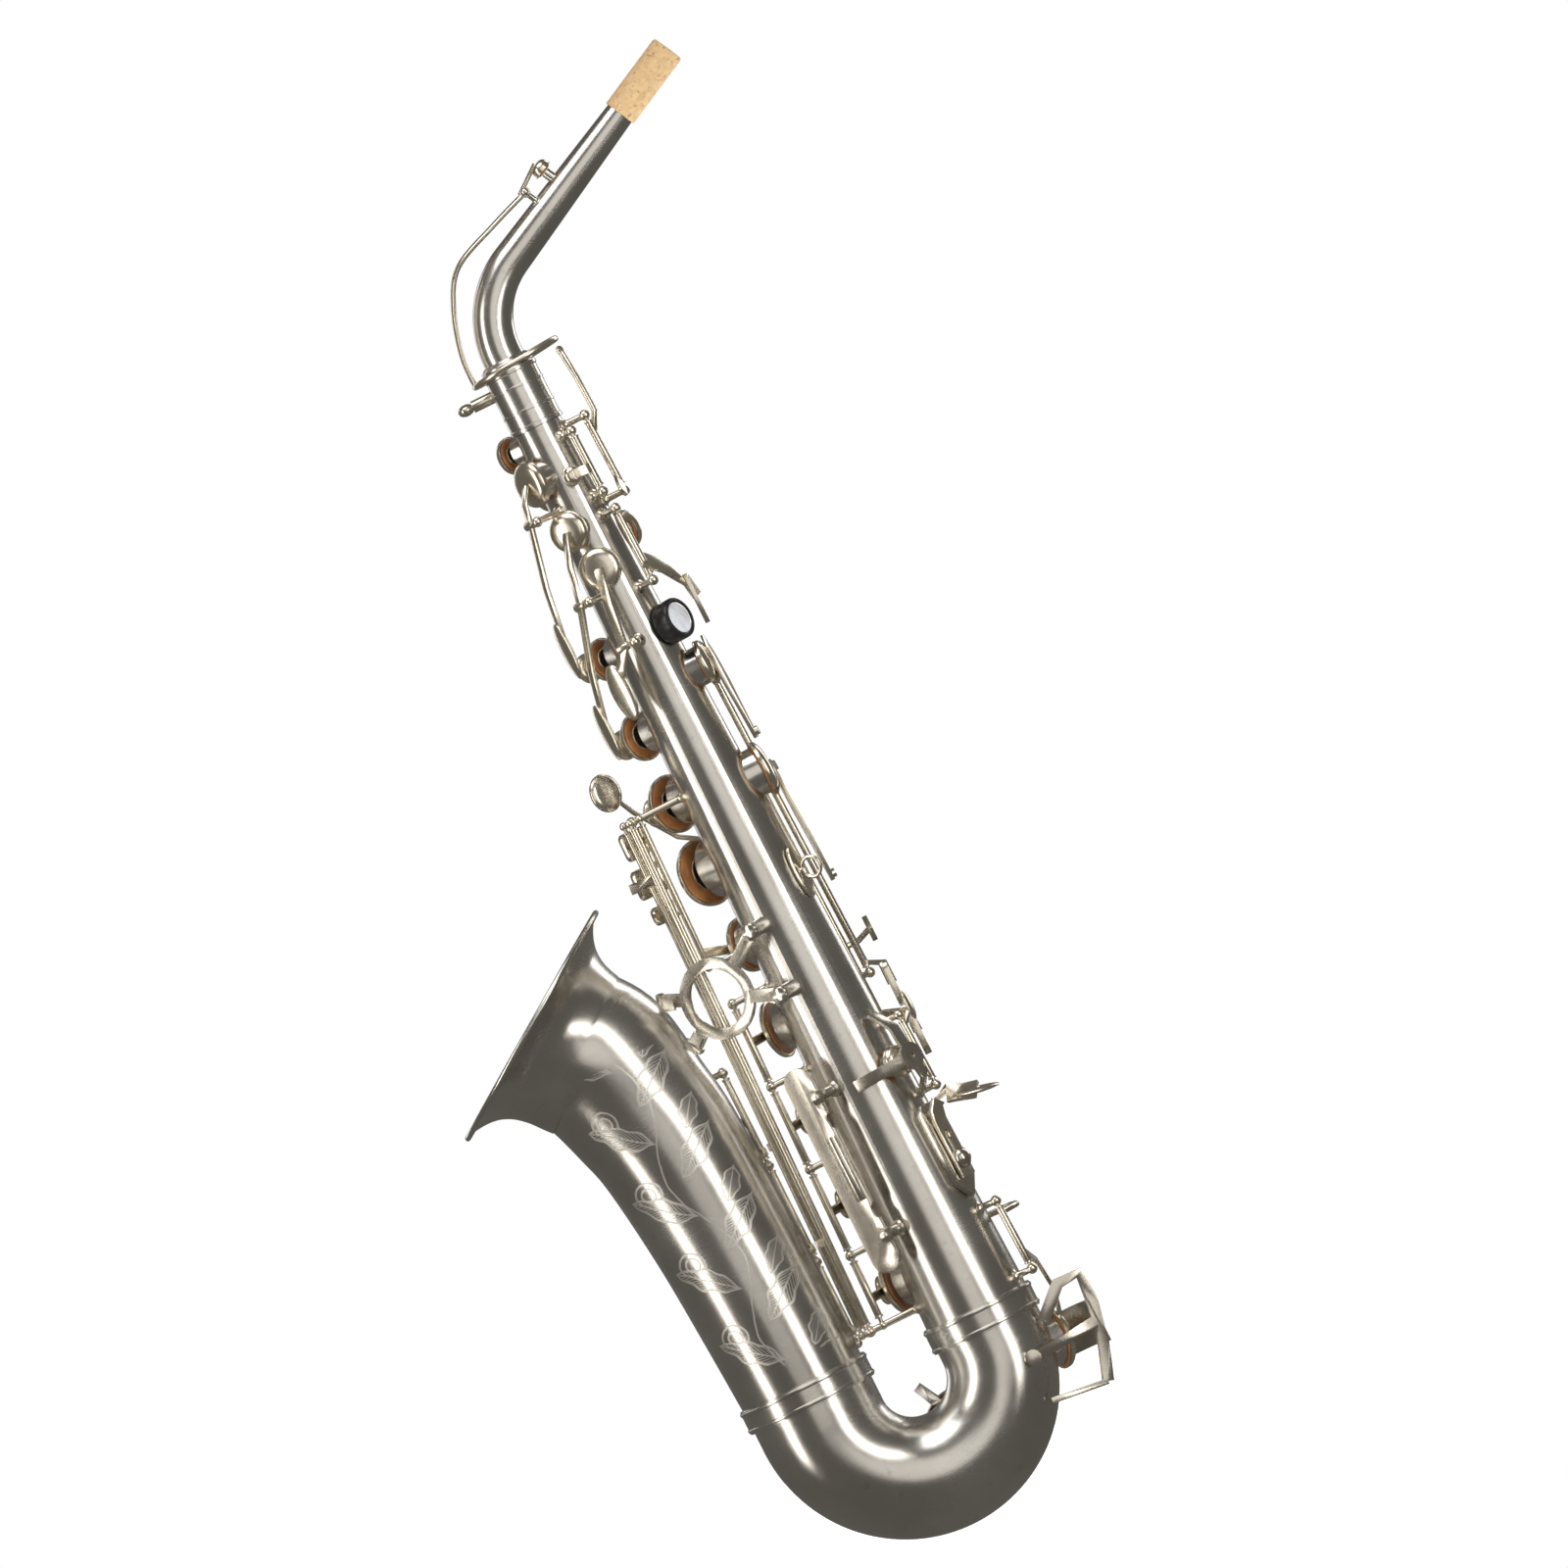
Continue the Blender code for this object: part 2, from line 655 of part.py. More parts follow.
def neck_path(steps=7):
    """Centres up the neck: the socket, the bend and the straight run to the tip."""
    bend = Vector((NECK_BEND_RADIUS, 0.0, NECK_BEND_START))
    sweep = math.radians(90.0 - NECK_RISE)
    angles = [sweep * i / steps for i in range(steps + 1)]
    points = [bend + (Z * math.sin(a) - X * math.cos(a)) * NECK_BEND_RADIUS for a in angles]
    along = X * math.cos(math.radians(NECK_RISE)) + Z * math.sin(math.radians(NECK_RISE))
    return points, along


def palm_pivot(angle, z):
    return direction(angle) * PALM_REACH + Z * z


def neck():
    points, along = neck_path()
    bend_end = points[-1]
    cork_start = NECK_STRAIGHT - CORK_LENGTH
    points = [Z * (RECEIVER_TOP + 2.0)] + points
    points += [bend_end + along * reach for reach in (cork_start / 2, cork_start, NECK_STRAIGHT)]
    lengths = [0.0]
    for before, after in zip(points, points[1:]):
        lengths.append(lengths[-1] + (after - before).length)
    fall = (NECK_BASE_RADIUS - NECK_TIP_RADIUS) / lengths[-2]
    radii = [max(NECK_BASE_RADIUS - fall * length, NECK_TIP_RADIUS) for length in lengths]
    collar, top = RECEIVER_RADIUS + 0.2, RECEIVER_TOP + GAP
    profile = [(0.0, 249.0), (TENON_RADIUS, 249.0), (TENON_RADIUS, top), (collar, top), (collar, top + 3.2)]
    profile += [(collar - 1.0, top + 4.4), (0.0, top + 4.4)]
    pip, pip_normal = neck_pip()
    joined = [loft(hoops(points, radii, 16)), turned(profile, Vector(), Z, steps=20)]
    joined.append(rod(pip - pip_normal * 3, pip + pip_normal * CHIMNEY_HEIGHT, 2.6))
    for side in (-6.0, 6.0):
        joined += post(SADDLE + Y * side, SADDLE + Y * side * 0.5 - pip_normal * 8.5, 1.5)
    bore = [Z * 244.0, *points[:-1], points[-1] + along * 4]
    bore_radii = [NECK_BASE_RADIUS - WALL, *[radius - WALL for radius in radii]]
    cut = [loft(hoops(bore, bore_radii, 16)), rod(pip - pip_normal * 8, pip + pip_normal * 6, 1.3)]
    tube = fuse("neck_tube", SATIN, joined, cut)
    inside = NECK_TIP_RADIUS + GAP
    profile = [(inside, 0.0), (CORK_RADIUS, 0.0), (CORK_RADIUS, CORK_LENGTH - 1), (CORK_RADIUS - 0.5, CORK_LENGTH)]
    profile.append((inside, CORK_LENGTH))
    cork = fuse("neck_cork", CORK, [turned(profile, bend_end + along * (cork_start + 0.5), along, steps=20)])
    hinge("neck_turn", Z * RECEIVER_TOP, Z, [tube, cork])


def neck_pip():
    """Where the neck's octave pip stands, and the way it points."""
    points, along = neck_path()
    normal = Z * math.cos(math.radians(NECK_RISE)) - X * math.sin(math.radians(NECK_RISE))
    return points[-1] + along * 44.0 + normal * 8.6, normal


def neck_octave_key():
    pip, normal = neck_pip()
    loop = [
        Vector((4.0 - 22.5 * math.cos(t), 18.5 * math.sin(t), 277.5 - 2.0 * math.cos(t)))
        for t in (math.tau * i / 16 for i in range(16))
    ]
    ring_hoops = hoops([loop[-1], *loop, loop[0]], [1.4] * 18, 6)[1:-1]
    path = [(-18.3, 0, 275.3), (-17.5, 0, 292), (-11.0, 0, 314), (0, 0, 331), (24.0, 0, 341.5)]
    joined = [
        loft(ring_hoops, closed=True),
        bar([*map(Vector, path), SADDLE], Y, 1.8, 6.0),
        bar([SADDLE - X * 3, pip + normal * (CUP_TOP + 0.4)], normal, 5.0, 1.8),
        rod(SADDLE - Y * 3, SADDLE + Y * 3, 2.0),
        cup(pip, normal, 4.8),
    ]
    hinge("neck_octave_hinge", SADDLE, -Y, [fuse("neck_octave_key", KEYWORK, joined)])


# ---------------------------------------------------------------- fixed fittings


def ferrule(name, centre, low, high, radius):
    middle = (low + high) / 2
    profile = [
        (radius + 2 * GAP, low),
        (radius + 1.6, low),
        (radius + 2.3, low + 1.2),
        (radius + 1.6, low + 2.4),
        (radius + 1.6, middle),
        (radius + 1.6, high - 2.4),
        (radius + 2.3, high - 1.2),
        (radius + 1.6, high),
        (radius + 2 * GAP, high),
    ]
    fuse(name, SATIN, [turned(profile, centre, Z, steps=20)])


def bell_brace():
    """A flat ring with two arms to screws on the body and two to the bell."""
    facing = direction(BRACE_ANGLE)
    away = direction(BRACE_ANGLE - 90.0)
    flat = [(20.3, -0.9), (20.3, 0.9), (14.8, 0.9), (14.8, -0.9)]
    joined = [turned(flat, BRACE_RING, facing, steps=28)]
    for z, bell_z in zip(BRACE_HEIGHTS, (-30.0, -56.0)):
        eye = skin(BRACE_ANGLE, z, BRACE_OUT + 0.9)
        inner = BRACE_RING + (eye - BRACE_RING).normalized() * 18.0
        joined.append(bar([eye, inner], facing, 6.5, 1.8))
        joined.append(rod(eye - facing * 0.9, eye + facing * 0.9, 4.4, sides=14))
        end = bell_foot(BRACE_RING, away, bell_z)
        inner = BRACE_RING + (end - BRACE_RING).normalized() * 18.0
        joined.append(bar([inner, end], facing, 6.5, 1.8))
    eyes = [skin(BRACE_ANGLE, z, 0.0) for z in BRACE_HEIGHTS]
    holes = [rod(eye, eye + facing * 16, 2.3, sides=10) for eye in eyes]
    fuse("bell_brace", SHEET, joined, holes)


def bell_foot(start, away, z):
    """The point just short of the bell, on the brace's own plane."""
    place = Vector((start.x, start.y, z))
    while bell_distance(place) > 2.6:
        place += away * 0.25
    return place


def bell_distance(place):
    """From a point to the nearest of many hoops round the bell."""
    points, radii = bell_path()
    rings = list(zip(points, tangents(points), radii))
    nearest = 1000.0
    for (low, start, near), (high, end, far) in zip(rings, rings[1:]):
        for share in (i / 16 for i in range(17)):
            along = start.lerp(end, share).normalized()
            rest = place - low.lerp(high, share)
            level = rest.dot(along)
            off = (rest - along * level).length - near - (far - near) * share
            nearest = min(nearest, math.hypot(level, off))
    return nearest


def brace_screws():
    facing = direction(BRACE_ANGLE)
    for name, z in zip(("brace_screw_upper", "brace_screw_lower"), BRACE_HEIGHTS):
        seat = skin(BRACE_ANGLE, z, BRACE_OUT)
        profile = [(0, 0.0), (1.9, 0.0), (1.9, 2.1), (4.4, 2.1), (4.6, 2.6), (4.6, 4.0)]
        profile += [(3.8, 4.8), (0, 5.0)]
        slot = slab(round_outline(11.0, 1.2, 0.1, 1), seat + facing * 5.0, facing, Z, 2.0)
        fuse(name, KEYWORK, [turned(profile, seat, facing)], [slot])


def strap_ring():
    facing = direction(RING_ANGLE)
    centre = facing * RING_DISTANCE + Z * RING_HEIGHT
    hole = [(5.1 + 1.0 * math.cos(t), 1.0 * math.sin(t)) for t in (math.tau * i / 8 for i in range(8))]
    leaf = [(4.2 * math.sin(t), 13.5 * math.cos(t)) for t in (math.tau * i / 16 for i in range(16))]
    back = facing * (radius_at(RING_HEIGHT) + GAP) + Z * RING_HEIGHT
    joined = [
        turned(hole, centre, direction(RING_ANGLE + 90), steps=20),
        slab(leaf, back + facing * 1.1, outward(RING_ANGLE), lengthwise(RING_ANGLE), 2.0),
        rod(back + facing * 0.5, centre - facing * 4.6, 1.8),
    ]
    fuse("strap_ring", KEYWORK, joined)


def thumb_rest():
    centre, normal = skin(BACK, 132.0), outward(BACK)
    profile = [(0, GAP), (10.0, GAP), (10.4, 1.0), (10.4, 8.8), (9.8, 9.6), (8.2, 9.6), (8.2, 8.0), (0, 8.0)]
    fuse("thumb_rest", BLACK, [turned(profile, centre, normal, steps=24)])
    dome = [(0, 8.3), (7.9, 8.3), (7.9, 9.4), (6.5, 10.0), (0, 10.4)]
    fuse("thumb_rest_pearl", PEARL, [turned(dome, centre, normal, steps=24)])


def thumb_hook():
    facing = direction(BACK)
    outline = [(-8.5, 20.0), (-6.0, 24.0), (6.0, 24.0), (8.5, 20.0), (8.5, -16.0)]
    outline += [(0.0, -26.0), (-8.5, -16.0)]
    seat = skin(BACK, -154.0, GAP)
    screw_hole = rod(skin(BACK, -161.0, -2), skin(BACK, -161.0, 12), 2.2, sides=10)
    plate = slab(outline, seat + facing * 1.9, outward(BACK), lengthwise(BACK), 3.8)
    fuse("thumb_hook_plate", SHEET, [plate], [screw_hole])
    away = direction(BACK + 12)
    rise = [(-170.0, 5.8), (-140.0, 5.8), (-134.0, 7.4), (-130.5, 11.5)]
    path = [skin(BACK, z, out) for z, out in rise]
    path += [path[-1] + away * a + Z * b for a, b in ((5.0, 0.5), (12.0, -2.0), (20.0, -4.0))]
    tilted = (away * 0.2 + Z).normalized()
    spoon = ball(path[-1] - Z * 0.3, 10.0, (1.15, 0.75, 0.16), tilted, sides=14)
    hole = rod(skin(BACK, -161.0, -2), skin(BACK, -161.0, 12), 2.2, sides=10)
    moon = rod(skin(BACK, -148.0, -2), skin(BACK, -148.0, 12), 2.6, sides=10)
    fuse("thumb_hook", KEYWORK, [bar(path, facing, 10.0, 2.0), spoon], [hole, moon])
    profile = [(0, 1.6), (1.9, 1.6), (1.9, 6.7), (5.0, 6.7), (5.0, 8.4), (2.6, 10.6), (0, 11.0)]
    fuse("thumb_hook_screw", KEYWORK, [turned(profile, skin(BACK, -161.0, GAP), facing)])


def bow_skin(turn, angle, out):
    """A point by the bow: angle 0 on its outer side, 90 towards the left hand side."""
    centre, radius = bow_turn(turn)
    outer = (centre - bow_hub()).normalized()
    way = outer * math.cos(math.radians(angle)) - Y * math.sin(math.radians(angle))
    return centre + way * (radius + out)


def bow_foot(place, way):
    """The point just short of the bow, this way from a place beside it."""
    foot = place.copy()
    clear = 100.0
    while clear > 2.4:
        foot += way * 0.5
        turn = math.degrees(math.atan2(bow_hub().z - foot.z, foot.x - bow_hub().x))
        centre, radius = bow_turn(turn)
        clear = (foot - centre).length - radius
    return foot


def low_e_flat_guard():
    """A cage of sheet strips that stands round the low E flat cup."""
    band = [(40, -11, -236), (52, -9, -236), (51, -9, -252), (47, -9, -272), (41, -9, -289)]
    hub, low = bow_skin(14.0, 58.0, 2.4), bow_skin(33.0, 38.0, 2.4)
    top = bow_skin(1.0, 24.0, 2.4)
    face = [(50.5, -10, -261), (50.5, 10, -261), (43, 24, -261), (30, 30, -261)]
    joined = [
        bar([top, *map(Vector, band)], -Y, 6.0, 1.6),
        bar([hub, Vector((30.0, -14.0, -262.0)), Vector((49.0, -9.0, -260.0))], -Y, 5.0, 1.6),
        bar([low, Vector((41.0, -9.0, -289.0))], -Y, 3.0, 1.6),
        bar([*map(Vector, face)], X, 22.0, 1.6),
        rod(hub + Y * 0.8, hub - Y * 1.2, 4.0, sides=12),
    ]
    joined.append(bar([Vector((30.5, 30, -261)), bow_skin(14.0, -62.0, 2.4)], Y, 8.0, 1.6))
    window = slab(round_outline(16.0, 12.0, 2.0), Vector((50.5, 0.0, -261.0)), X, Z, 8.0)
    fuse("low_E_flat_guard", SHEET, joined, [window])


def low_c_guard():
    """A disc over the low C cup, on three legs that reach down past its rim."""
    centre, normal, radius, _ = low_c_hole()
    crown = centre + normal * 23.0
    joined = [rod(crown - normal * 0.9, crown + normal * 0.9, 8.0, sides=14)]
    side = Y.cross(normal).normalized()
    rise = normal.cross(side)
    for turn, reach in ((25.0, 4.0), (150.0, 4.0), (270.0, 5.0)):
        way = side * math.cos(math.radians(turn)) + rise * math.sin(math.radians(turn))
        shoulder = crown + way * (radius + reach) - normal * 2.0
        joined.append(bar([crown, shoulder, bow_foot(shoulder, -normal)], normal, 5.0, 1.6))
    fuse("low_C_guard", SHEET, joined)


def bell_key_guard():
    """A long strip over the two big bell cups, on three legs."""
    distance = 56.0
    low, _ = bell_section(-176.0)
    high, _ = bell_section(-74.0)
    middle = (low + high) / 2 + Y * distance
    joined = [slab(round_outline(13.0, 118.0, 6.0), middle, Y, high - low, 1.6)]
    for z in (-74.0, -125.3, -176.0):
        surface, normal = bell_surface(z, 90.0)
        foot = surface + normal * (GAP + 0.9)
        joined.append(rod(foot, Vector((surface.x, distance, z)), 2.0))
        joined.append(rod(foot, foot + normal * 1.5, 3.6, 2.4))
    fuse("bell_key_guard", SHEET, joined)


def trill_key_guard():
    """A three-armed guard with a small hole at its centre."""
    angle, z, _ = TRILL
    crown, normal = skin(angle, z, 16.0), outward(angle)
    joined = [rod(crown - normal * 0.8, crown + normal * 0.8, 7.0, sides=14)]
    for foot_angle, foot_z in ((angle - 52, z - 2), (angle + 3, z + 26), (angle + 19, z - 18)):
        foot = skin(foot_angle, foot_z, 3.0)
        over = crown + (foot - crown) * 0.6 + normal * 5.0
        joined.append(bar([crown, over, foot], normal, 6.0, 1.6))
    hole = rod(crown - normal * 4, crown + normal * 4, 1.6)
    fuse("trill_key_guard", SHEET, joined, [hole])


def stack_guard():
    """The tall side plate by the lower stack, with scallops along its edge, on two studs."""
    angle, facing, centre_z = 218.0, direction(236.0), -141.0
    centre = direction(angle) * 36.0 + Z * centre_z
    across = Z.cross(facing).normalized()
    joined = [slab(round_outline(16.0, 108.0, 7.0, 4), centre, facing, Z, 1.6)]
    roller = centre + across * 3.0
    joined.append(rod(roller - Z * 17, roller + Z * 17, 3.0, sides=12))
    for z in (37.2, -36.8):
        stud = centre + across * 6.0 + Z * z
        foot = skin(232.0, stud.z, 1.2)
        flare = foot + (stud - foot).normalized() * 1.5
        joined += [rod(foot, stud, 2.6), ball(stud, 4.2), rod(foot, flare, 4.6, 3.4)]
    notches = []
    for z in (-24.0, 24.0):
        place = centre + across * 10.5 + Z * z
        notches.append(rod(place - facing * 5, place + facing * 2, 5.0, sides=14))
    fuse("stack_guard", SHEET, joined, notches)


# ---------------------------------------------------------------- keys


def opening(point, axis, spot, normal):
    """The hinge axis, turned so that a positive angle lifts the spot along the normal."""
    return axis if axis.cross(spot - point).dot(normal) > 0 else -axis


def hinge_tube(low, high, radius=ROD):
    run = (high - low).normalized()
    return rod(low + run * 3.2, high - run * 3.2, radius)


def along_tube(name):
    """Both post centres of a rod that runs along the body tube, and its direction."""
    angle, out, low, high = TUBE_RODS[name]
    start, end = skin(angle, low, out), skin(angle, high, out)
    return start, end, (end - start).normalized()


def rod_point(name, z):
    angle, out, _, _ = TUBE_RODS[name]
    return skin(angle, z, out)


def stack_key(name, size, place, finger, padded=True):
    """A front stack key: hinge tube, arm, cup and finger touch, built closed and left standing open."""
    z, radius, high, low = size
    centre, normal = skin(FRONT, z), outward(FRONT)
    start, end = skin(FRONT, low, *place), skin(FRONT, high, *place)
    top = centre + normal * (CUP_TOP + 0.1)
    joined = [hinge_tube(start, end), bar([skin(FRONT, z, *place), top], normal, 4.5, 1.6)]
    joined.append(cup(centre, normal, radius))
    if finger:
        spot = skin(FRONT, z, CUP_TOP + 4.2, math.copysign(4.0, -place[1]))
        joined += [rod(spot - normal * 5, spot, 2.4), button(spot, normal, 7.2)]
    if name == "G_key":
        joined += g_touch()
    pieces = [fuse(name, KEYWORK, joined)]
    if padded:
        pieces.append(pad(name.replace("key", "pad"), centre, normal, radius))
    axis = opening(start, lengthwise(FRONT), centre, normal)
    hinge(name + "_hinge", start, axis, pieces, STACK_OPEN)


def g_touch():
    """The G key's wire, over to the finger touch on the near side."""
    spot = skin(FRONT, 72.0, 10.0, 32.0)
    path = [(28.0, 9.5, -19.5), (38.0, 23.0, -10.0), (58.0, 27.0, 6.0), (69.0, 20.0, 20.0), (72.0, 9.2, 30.0)]
    return [wire([skin(FRONT, *point) for point in path], 1.3), button(spot, outward(FRONT), 9.2)]


def stacks():
    for name, size in UPPER_STACK.items():
        stack_key(name, size, UPPER_ROD, name != "G_key", name != "C_key")
    for name, size in LOWER_STACK.items():
        stack_key(name, size, LOWER_ROD, name != "F_sharp_key")


def lever_arm(name, place, touch, size):
    """A touch of the left hand table and the arm from its rod."""
    z, out, side = touch
    steps = [skin(FRONT, z, *place), skin(FRONT, z, out, side)]
    if name in LEVER_ELBOWS:
        steps.insert(1, skin(FRONT, z, *LEVER_ELBOWS[name]))
    normal = outward(FRONT)
    plate = slab(round_outline(*size, 3.0), skin(FRONT, z, out, side), normal, Z, 2.6)
    return [bar(steps, normal, 5.0, 1.6), plate]


def left_hand_table():
    """The G sharp key, and the three long levers whose feet move the bell keys."""
    normal = outward(FRONT)
    for name, (place, touch, size) in LEVERS.items():
        end = G_SHARP_END - 3.0 if name == "G_sharp_key" else TABLE_BOTTOM
        start, top = skin(FRONT, end, *place), skin(FRONT, TABLE_TOP, *place)
        joined = [hinge_tube(start, top, TABLE_ROD), *lever_arm(name, place, touch, size)]
        if name == "G_sharp_key":
            z, radius = G_SHARP
            centre = skin(FRONT, z)
            reach = skin(FRONT, z + 6, *place)
            joined.append(bar([reach, centre + normal * (CUP_TOP + 0.1)], normal, 4.5, 1.6))
            joined.append(cup(centre, normal, radius))
            piece = fuse(name, KEYWORK, joined)
            axis = opening(start, lengthwise(FRONT), centre, normal)
            hinge(name + "_hinge", start, axis, [piece])
            continue
        foot_z, way = LEVER_FEET[name]
        foot = skin(FRONT, foot_z, *place)
        joined.append(bar([foot, foot + way], Z, 1.8, 4.0))
        spot = skin(FRONT, touch[0], touch[1], touch[2])
        axis = opening(start, lengthwise(FRONT), spot, -normal)
        hinge(name + "_hinge", start, axis, [fuse(name, KEYWORK, joined)])


def bell_key(name, z, radius, angle, low, high):
    """A cup on the bell's far side, left standing open, with its arm and hinge tube."""
    centre, normal = bell_surface(z, angle)
    start, end = bell_rod(low), bell_rod(high)
    hub = bell_rod(z)
    top = centre + normal * (CUP_TOP + 0.1)
    if angle > 100.0:
        shoulder = top - Z.cross(normal) * (radius + 2.5)
    else:
        shoulder = centre + (hub - centre).normalized() * (radius + 3.0)
        shoulder.y = max(top.y, shoulder.y) - 1.0
    joined = [hinge_tube(start, end), cup(centre, normal, radius)]
    joined.append(bar([hub, shoulder, top], normal, 5.0, 1.8))
    foot = bell_rod(low + 7.0)
    joined.append(bar([foot, foot - Y * 9.0 + X * 3.0], Z, 1.8, 4.0))
    axis = opening(start, Z, centre, normal)
    hinge(name + "_hinge", start, axis, [fuse(name, KEYWORK, joined)], BELL_OPEN)


def bell_keys():
    low, middle, high, top = sorted(BELL_POSTS)
    bell_key("low_B_key", *BELL_KEYS["low_B_key"], 90.0, middle, high)
    bell_key("low_B_flat_key", *BELL_KEYS["low_B_flat_key"], 90.0, high, top)
    angle = bell_key_angle(C_SHARP_HEIGHT)
    bell_key("low_C_sharp_key", C_SHARP_HEIGHT, C_SHARP_RADIUS, angle, low, middle)


def palm_keys():
    """Three rocking levers: the palm pushes the touch in, and the cup above it lifts."""
    for name, (angle, z, radius) in PALM.items():
        pivot_angle, pivot_z, touch = PALM_PIVOTS[name]
        centre, normal, pivot = skin(angle, z), outward(angle), palm_pivot(pivot_angle, pivot_z)
        across = direction(pivot_angle + 90.0)
        facing = Vector((touch.x, touch.y, 0.0)).normalized()
        top = centre + normal * (CUP_TOP + 0.2)
        path = [top, top.lerp(pivot, 0.45) + normal * 2.0, pivot]
        path += [pivot.lerp(touch, 0.5) + facing * 1.5, touch]
        joined = [rod(pivot - across * 3.0, pivot + across * 3.0, 2.2), cup(centre, normal, radius)]
        joined += [bar(path, facing, 5.0, 1.8), leaf_touch(touch, facing, 29.0, 13.0, 3.6)]
        axis = opening(pivot, across, centre, normal)
        hinge(name + "_hinge", pivot, axis, [fuse(name, KEYWORK, joined)])


def tube_key(name, hole, extras, opened=0.0, over=()):
    """A key whose hinge tube runs along the body tube, with its arm and cup. The arm may climb over a rod."""
    angle, z, radius = hole
    centre, normal = skin(angle, z), outward(angle)
    start, end, axis = along_tube(name)
    top = centre + normal * (CUP_TOP + 0.1)
    reach = rod_point(name, min(z, TUBE_RODS[name][3] - 6.0))
    shoulder = reach.lerp(top, 0.45)
    shoulder += Vector((shoulder.x, shoulder.y, 0.0)).normalized() * 3.0
    steps = [reach, *(over or [shoulder]), top]
    joined = [hinge_tube(start, end), cup(centre, normal, radius), bar(steps, normal, 4.5, 1.6)]
    piece = fuse(name, KEYWORK, joined + extras)
    hinge(name + "_hinge", start, opening(start, axis, centre, normal), [piece], opened)


def side_touch(name, plate):
    """A plate for the side of the right hand, on an arm from the rod."""
    path = [rod_point(name, plate.z + 15.0), plate + Z * 11.0, plate]
    leaf = slab(round_outline(14.0, 24.0, 5.0), plate, X, Z, 3.4)
    return [bar(path, Vector((plate.x, plate.y, 0)), 5.0, 2.0), leaf]


def cover_leaf(hole, low, high):
    """A wide leaf of sheet over a side key's cup, ending in a small screw."""
    angle, z, _ = hole
    normal, middle = outward(angle), (low + high) / 2
    half = (high - low) / 2
    outline = [(0.0, half), (6.0, half * 0.55), (7.5, half * 0.1), (4.0, -half * 0.55), (2.5, -half)]
    outline += [(-a, b) for a, b in outline[:0:-1]]
    centre = skin(angle, middle, CUP_TOP + 0.7)
    tip = skin(angle, low + 3.0, CUP_TOP)
    return [slab(outline, centre, normal, lengthwise(angle), 1.8), rod(tip, tip + normal * 3.4, 2.2)]


def side_keys():
    start = Vector((33.6, 30.0, -71.5))
    extras = side_touch("side_C_key", start) + cover_leaf(SIDE["side_C_key"], 64.0, 120.0)
    tube_key("side_C_key", SIDE["side_C_key"], extras)
    extras = side_touch("side_B_flat_key", start + Vector((0.6, 0.0, -26.5)))
    extras += cover_leaf(SIDE["side_B_flat_key"], -14.0, 52.0)
    over = [skin(51.0, 48.0, 16.5), skin(38.0, 48.0, 17.5), skin(22.0, 48.0, 14.0)]
    tube_key("side_B_flat_key", SIDE["side_B_flat_key"], extras, over=over)
    name = "side_E_key"
    steps = [rod_point(name, -46.0), Vector((15, 36, -46)), Vector((28, 39, -46)), Vector((35.5, 36, -43))]
    wing = slab([(-11, 0), (-2, 6.5), (9, 3), (10, -5), (-2, -6.5)], Vector((35.5, 35.0, -43.0)), X, Z, 2.6)
    tube_key(name, SIDE[name], [wire(steps, 1.5), wing])
    name = "high_F_sharp_key"
    steps = [rod_point(name, -26.0), skin(84.0, -28.0, 18.0), skin(74.0, -32.0, 22.0)]
    plate = slab(round_outline(12.0, 18.0, 4.0), skin(74.0, -32.0, 22.0), outward(74.0), Z, 2.6)
    tube_key(name, HIGH_F_SHARP, [wire(steps, 1.5), plate])
    name = "F_sharp_trill_key"
    touch = skin(-11.0, -84.0, 14.4)
    reach = wire([rod_point(name, -92.0), skin(-17.0, -88.0, 12.0), touch], 1.4)
    tube_key(name, TRILL, [reach, leaf_touch(touch, outward(-16.0), 15.0, 8.0, 3.0)])
    tube_key("high_vent_key", (FRONT + 4, *VENT), [], STACK_OPEN)


def octave_mechanism():
    """Thumb lever, the rocker that lifts the neck's loop, and the body's own octave key."""
    name = "thumb_octave_lever"
    start, end, axis = along_tube(name)
    steps = [rod_point(name, 165.0)]
    steps += [Vector(point) for point in ((24, -16, 158), (31, -12, 147), (32.5, -11, 138))]
    outline = [(-7, 13), (6, 12), (8, 0), (4, -13), (-5, -13), (-8, 0)]
    leaf = slab(outline, Vector((31.5, -12.5, 137)), X, Z, 2.4)
    tail = bar([rod_point(name, 186.0), skin(-40.0, 188.0, 13.0)], outward(-40.0), 5.0, 1.8)
    arm = bar(steps, direction(-20.0), 9.0, 2.0)
    piece = fuse(name, KEYWORK, [hinge_tube(start, end), arm, leaf, tail])
    spot = Vector((31.5, -12.5, 137.0))
    hinge(name + "_hinge", start, opening(start, axis, spot, -direction(-30.0)), [piece])
    name = "octave_rocker"
    start, end, axis = along_tube(name)
    tip = Vector((26.0, 0.0, 273.6))
    riser = [rod_point(name, 230.0), Vector((28, -3.5, 240)), Vector((27.5, -1.5, 258)), tip]
    foot = bar([rod_point(name, 206.0), skin(-34.0, 198.0, 14.0)], outward(-30.0), 5.0, 1.8)
    piece = fuse(name, KEYWORK, [hinge_tube(start, end), wire(riser, 1.5), ball(tip, 2.2), foot])
    hinge(name + "_hinge", start, opening(start, axis, tip, X), [piece])
    tube_key("body_octave_key", OCTAVE_PIP, [])


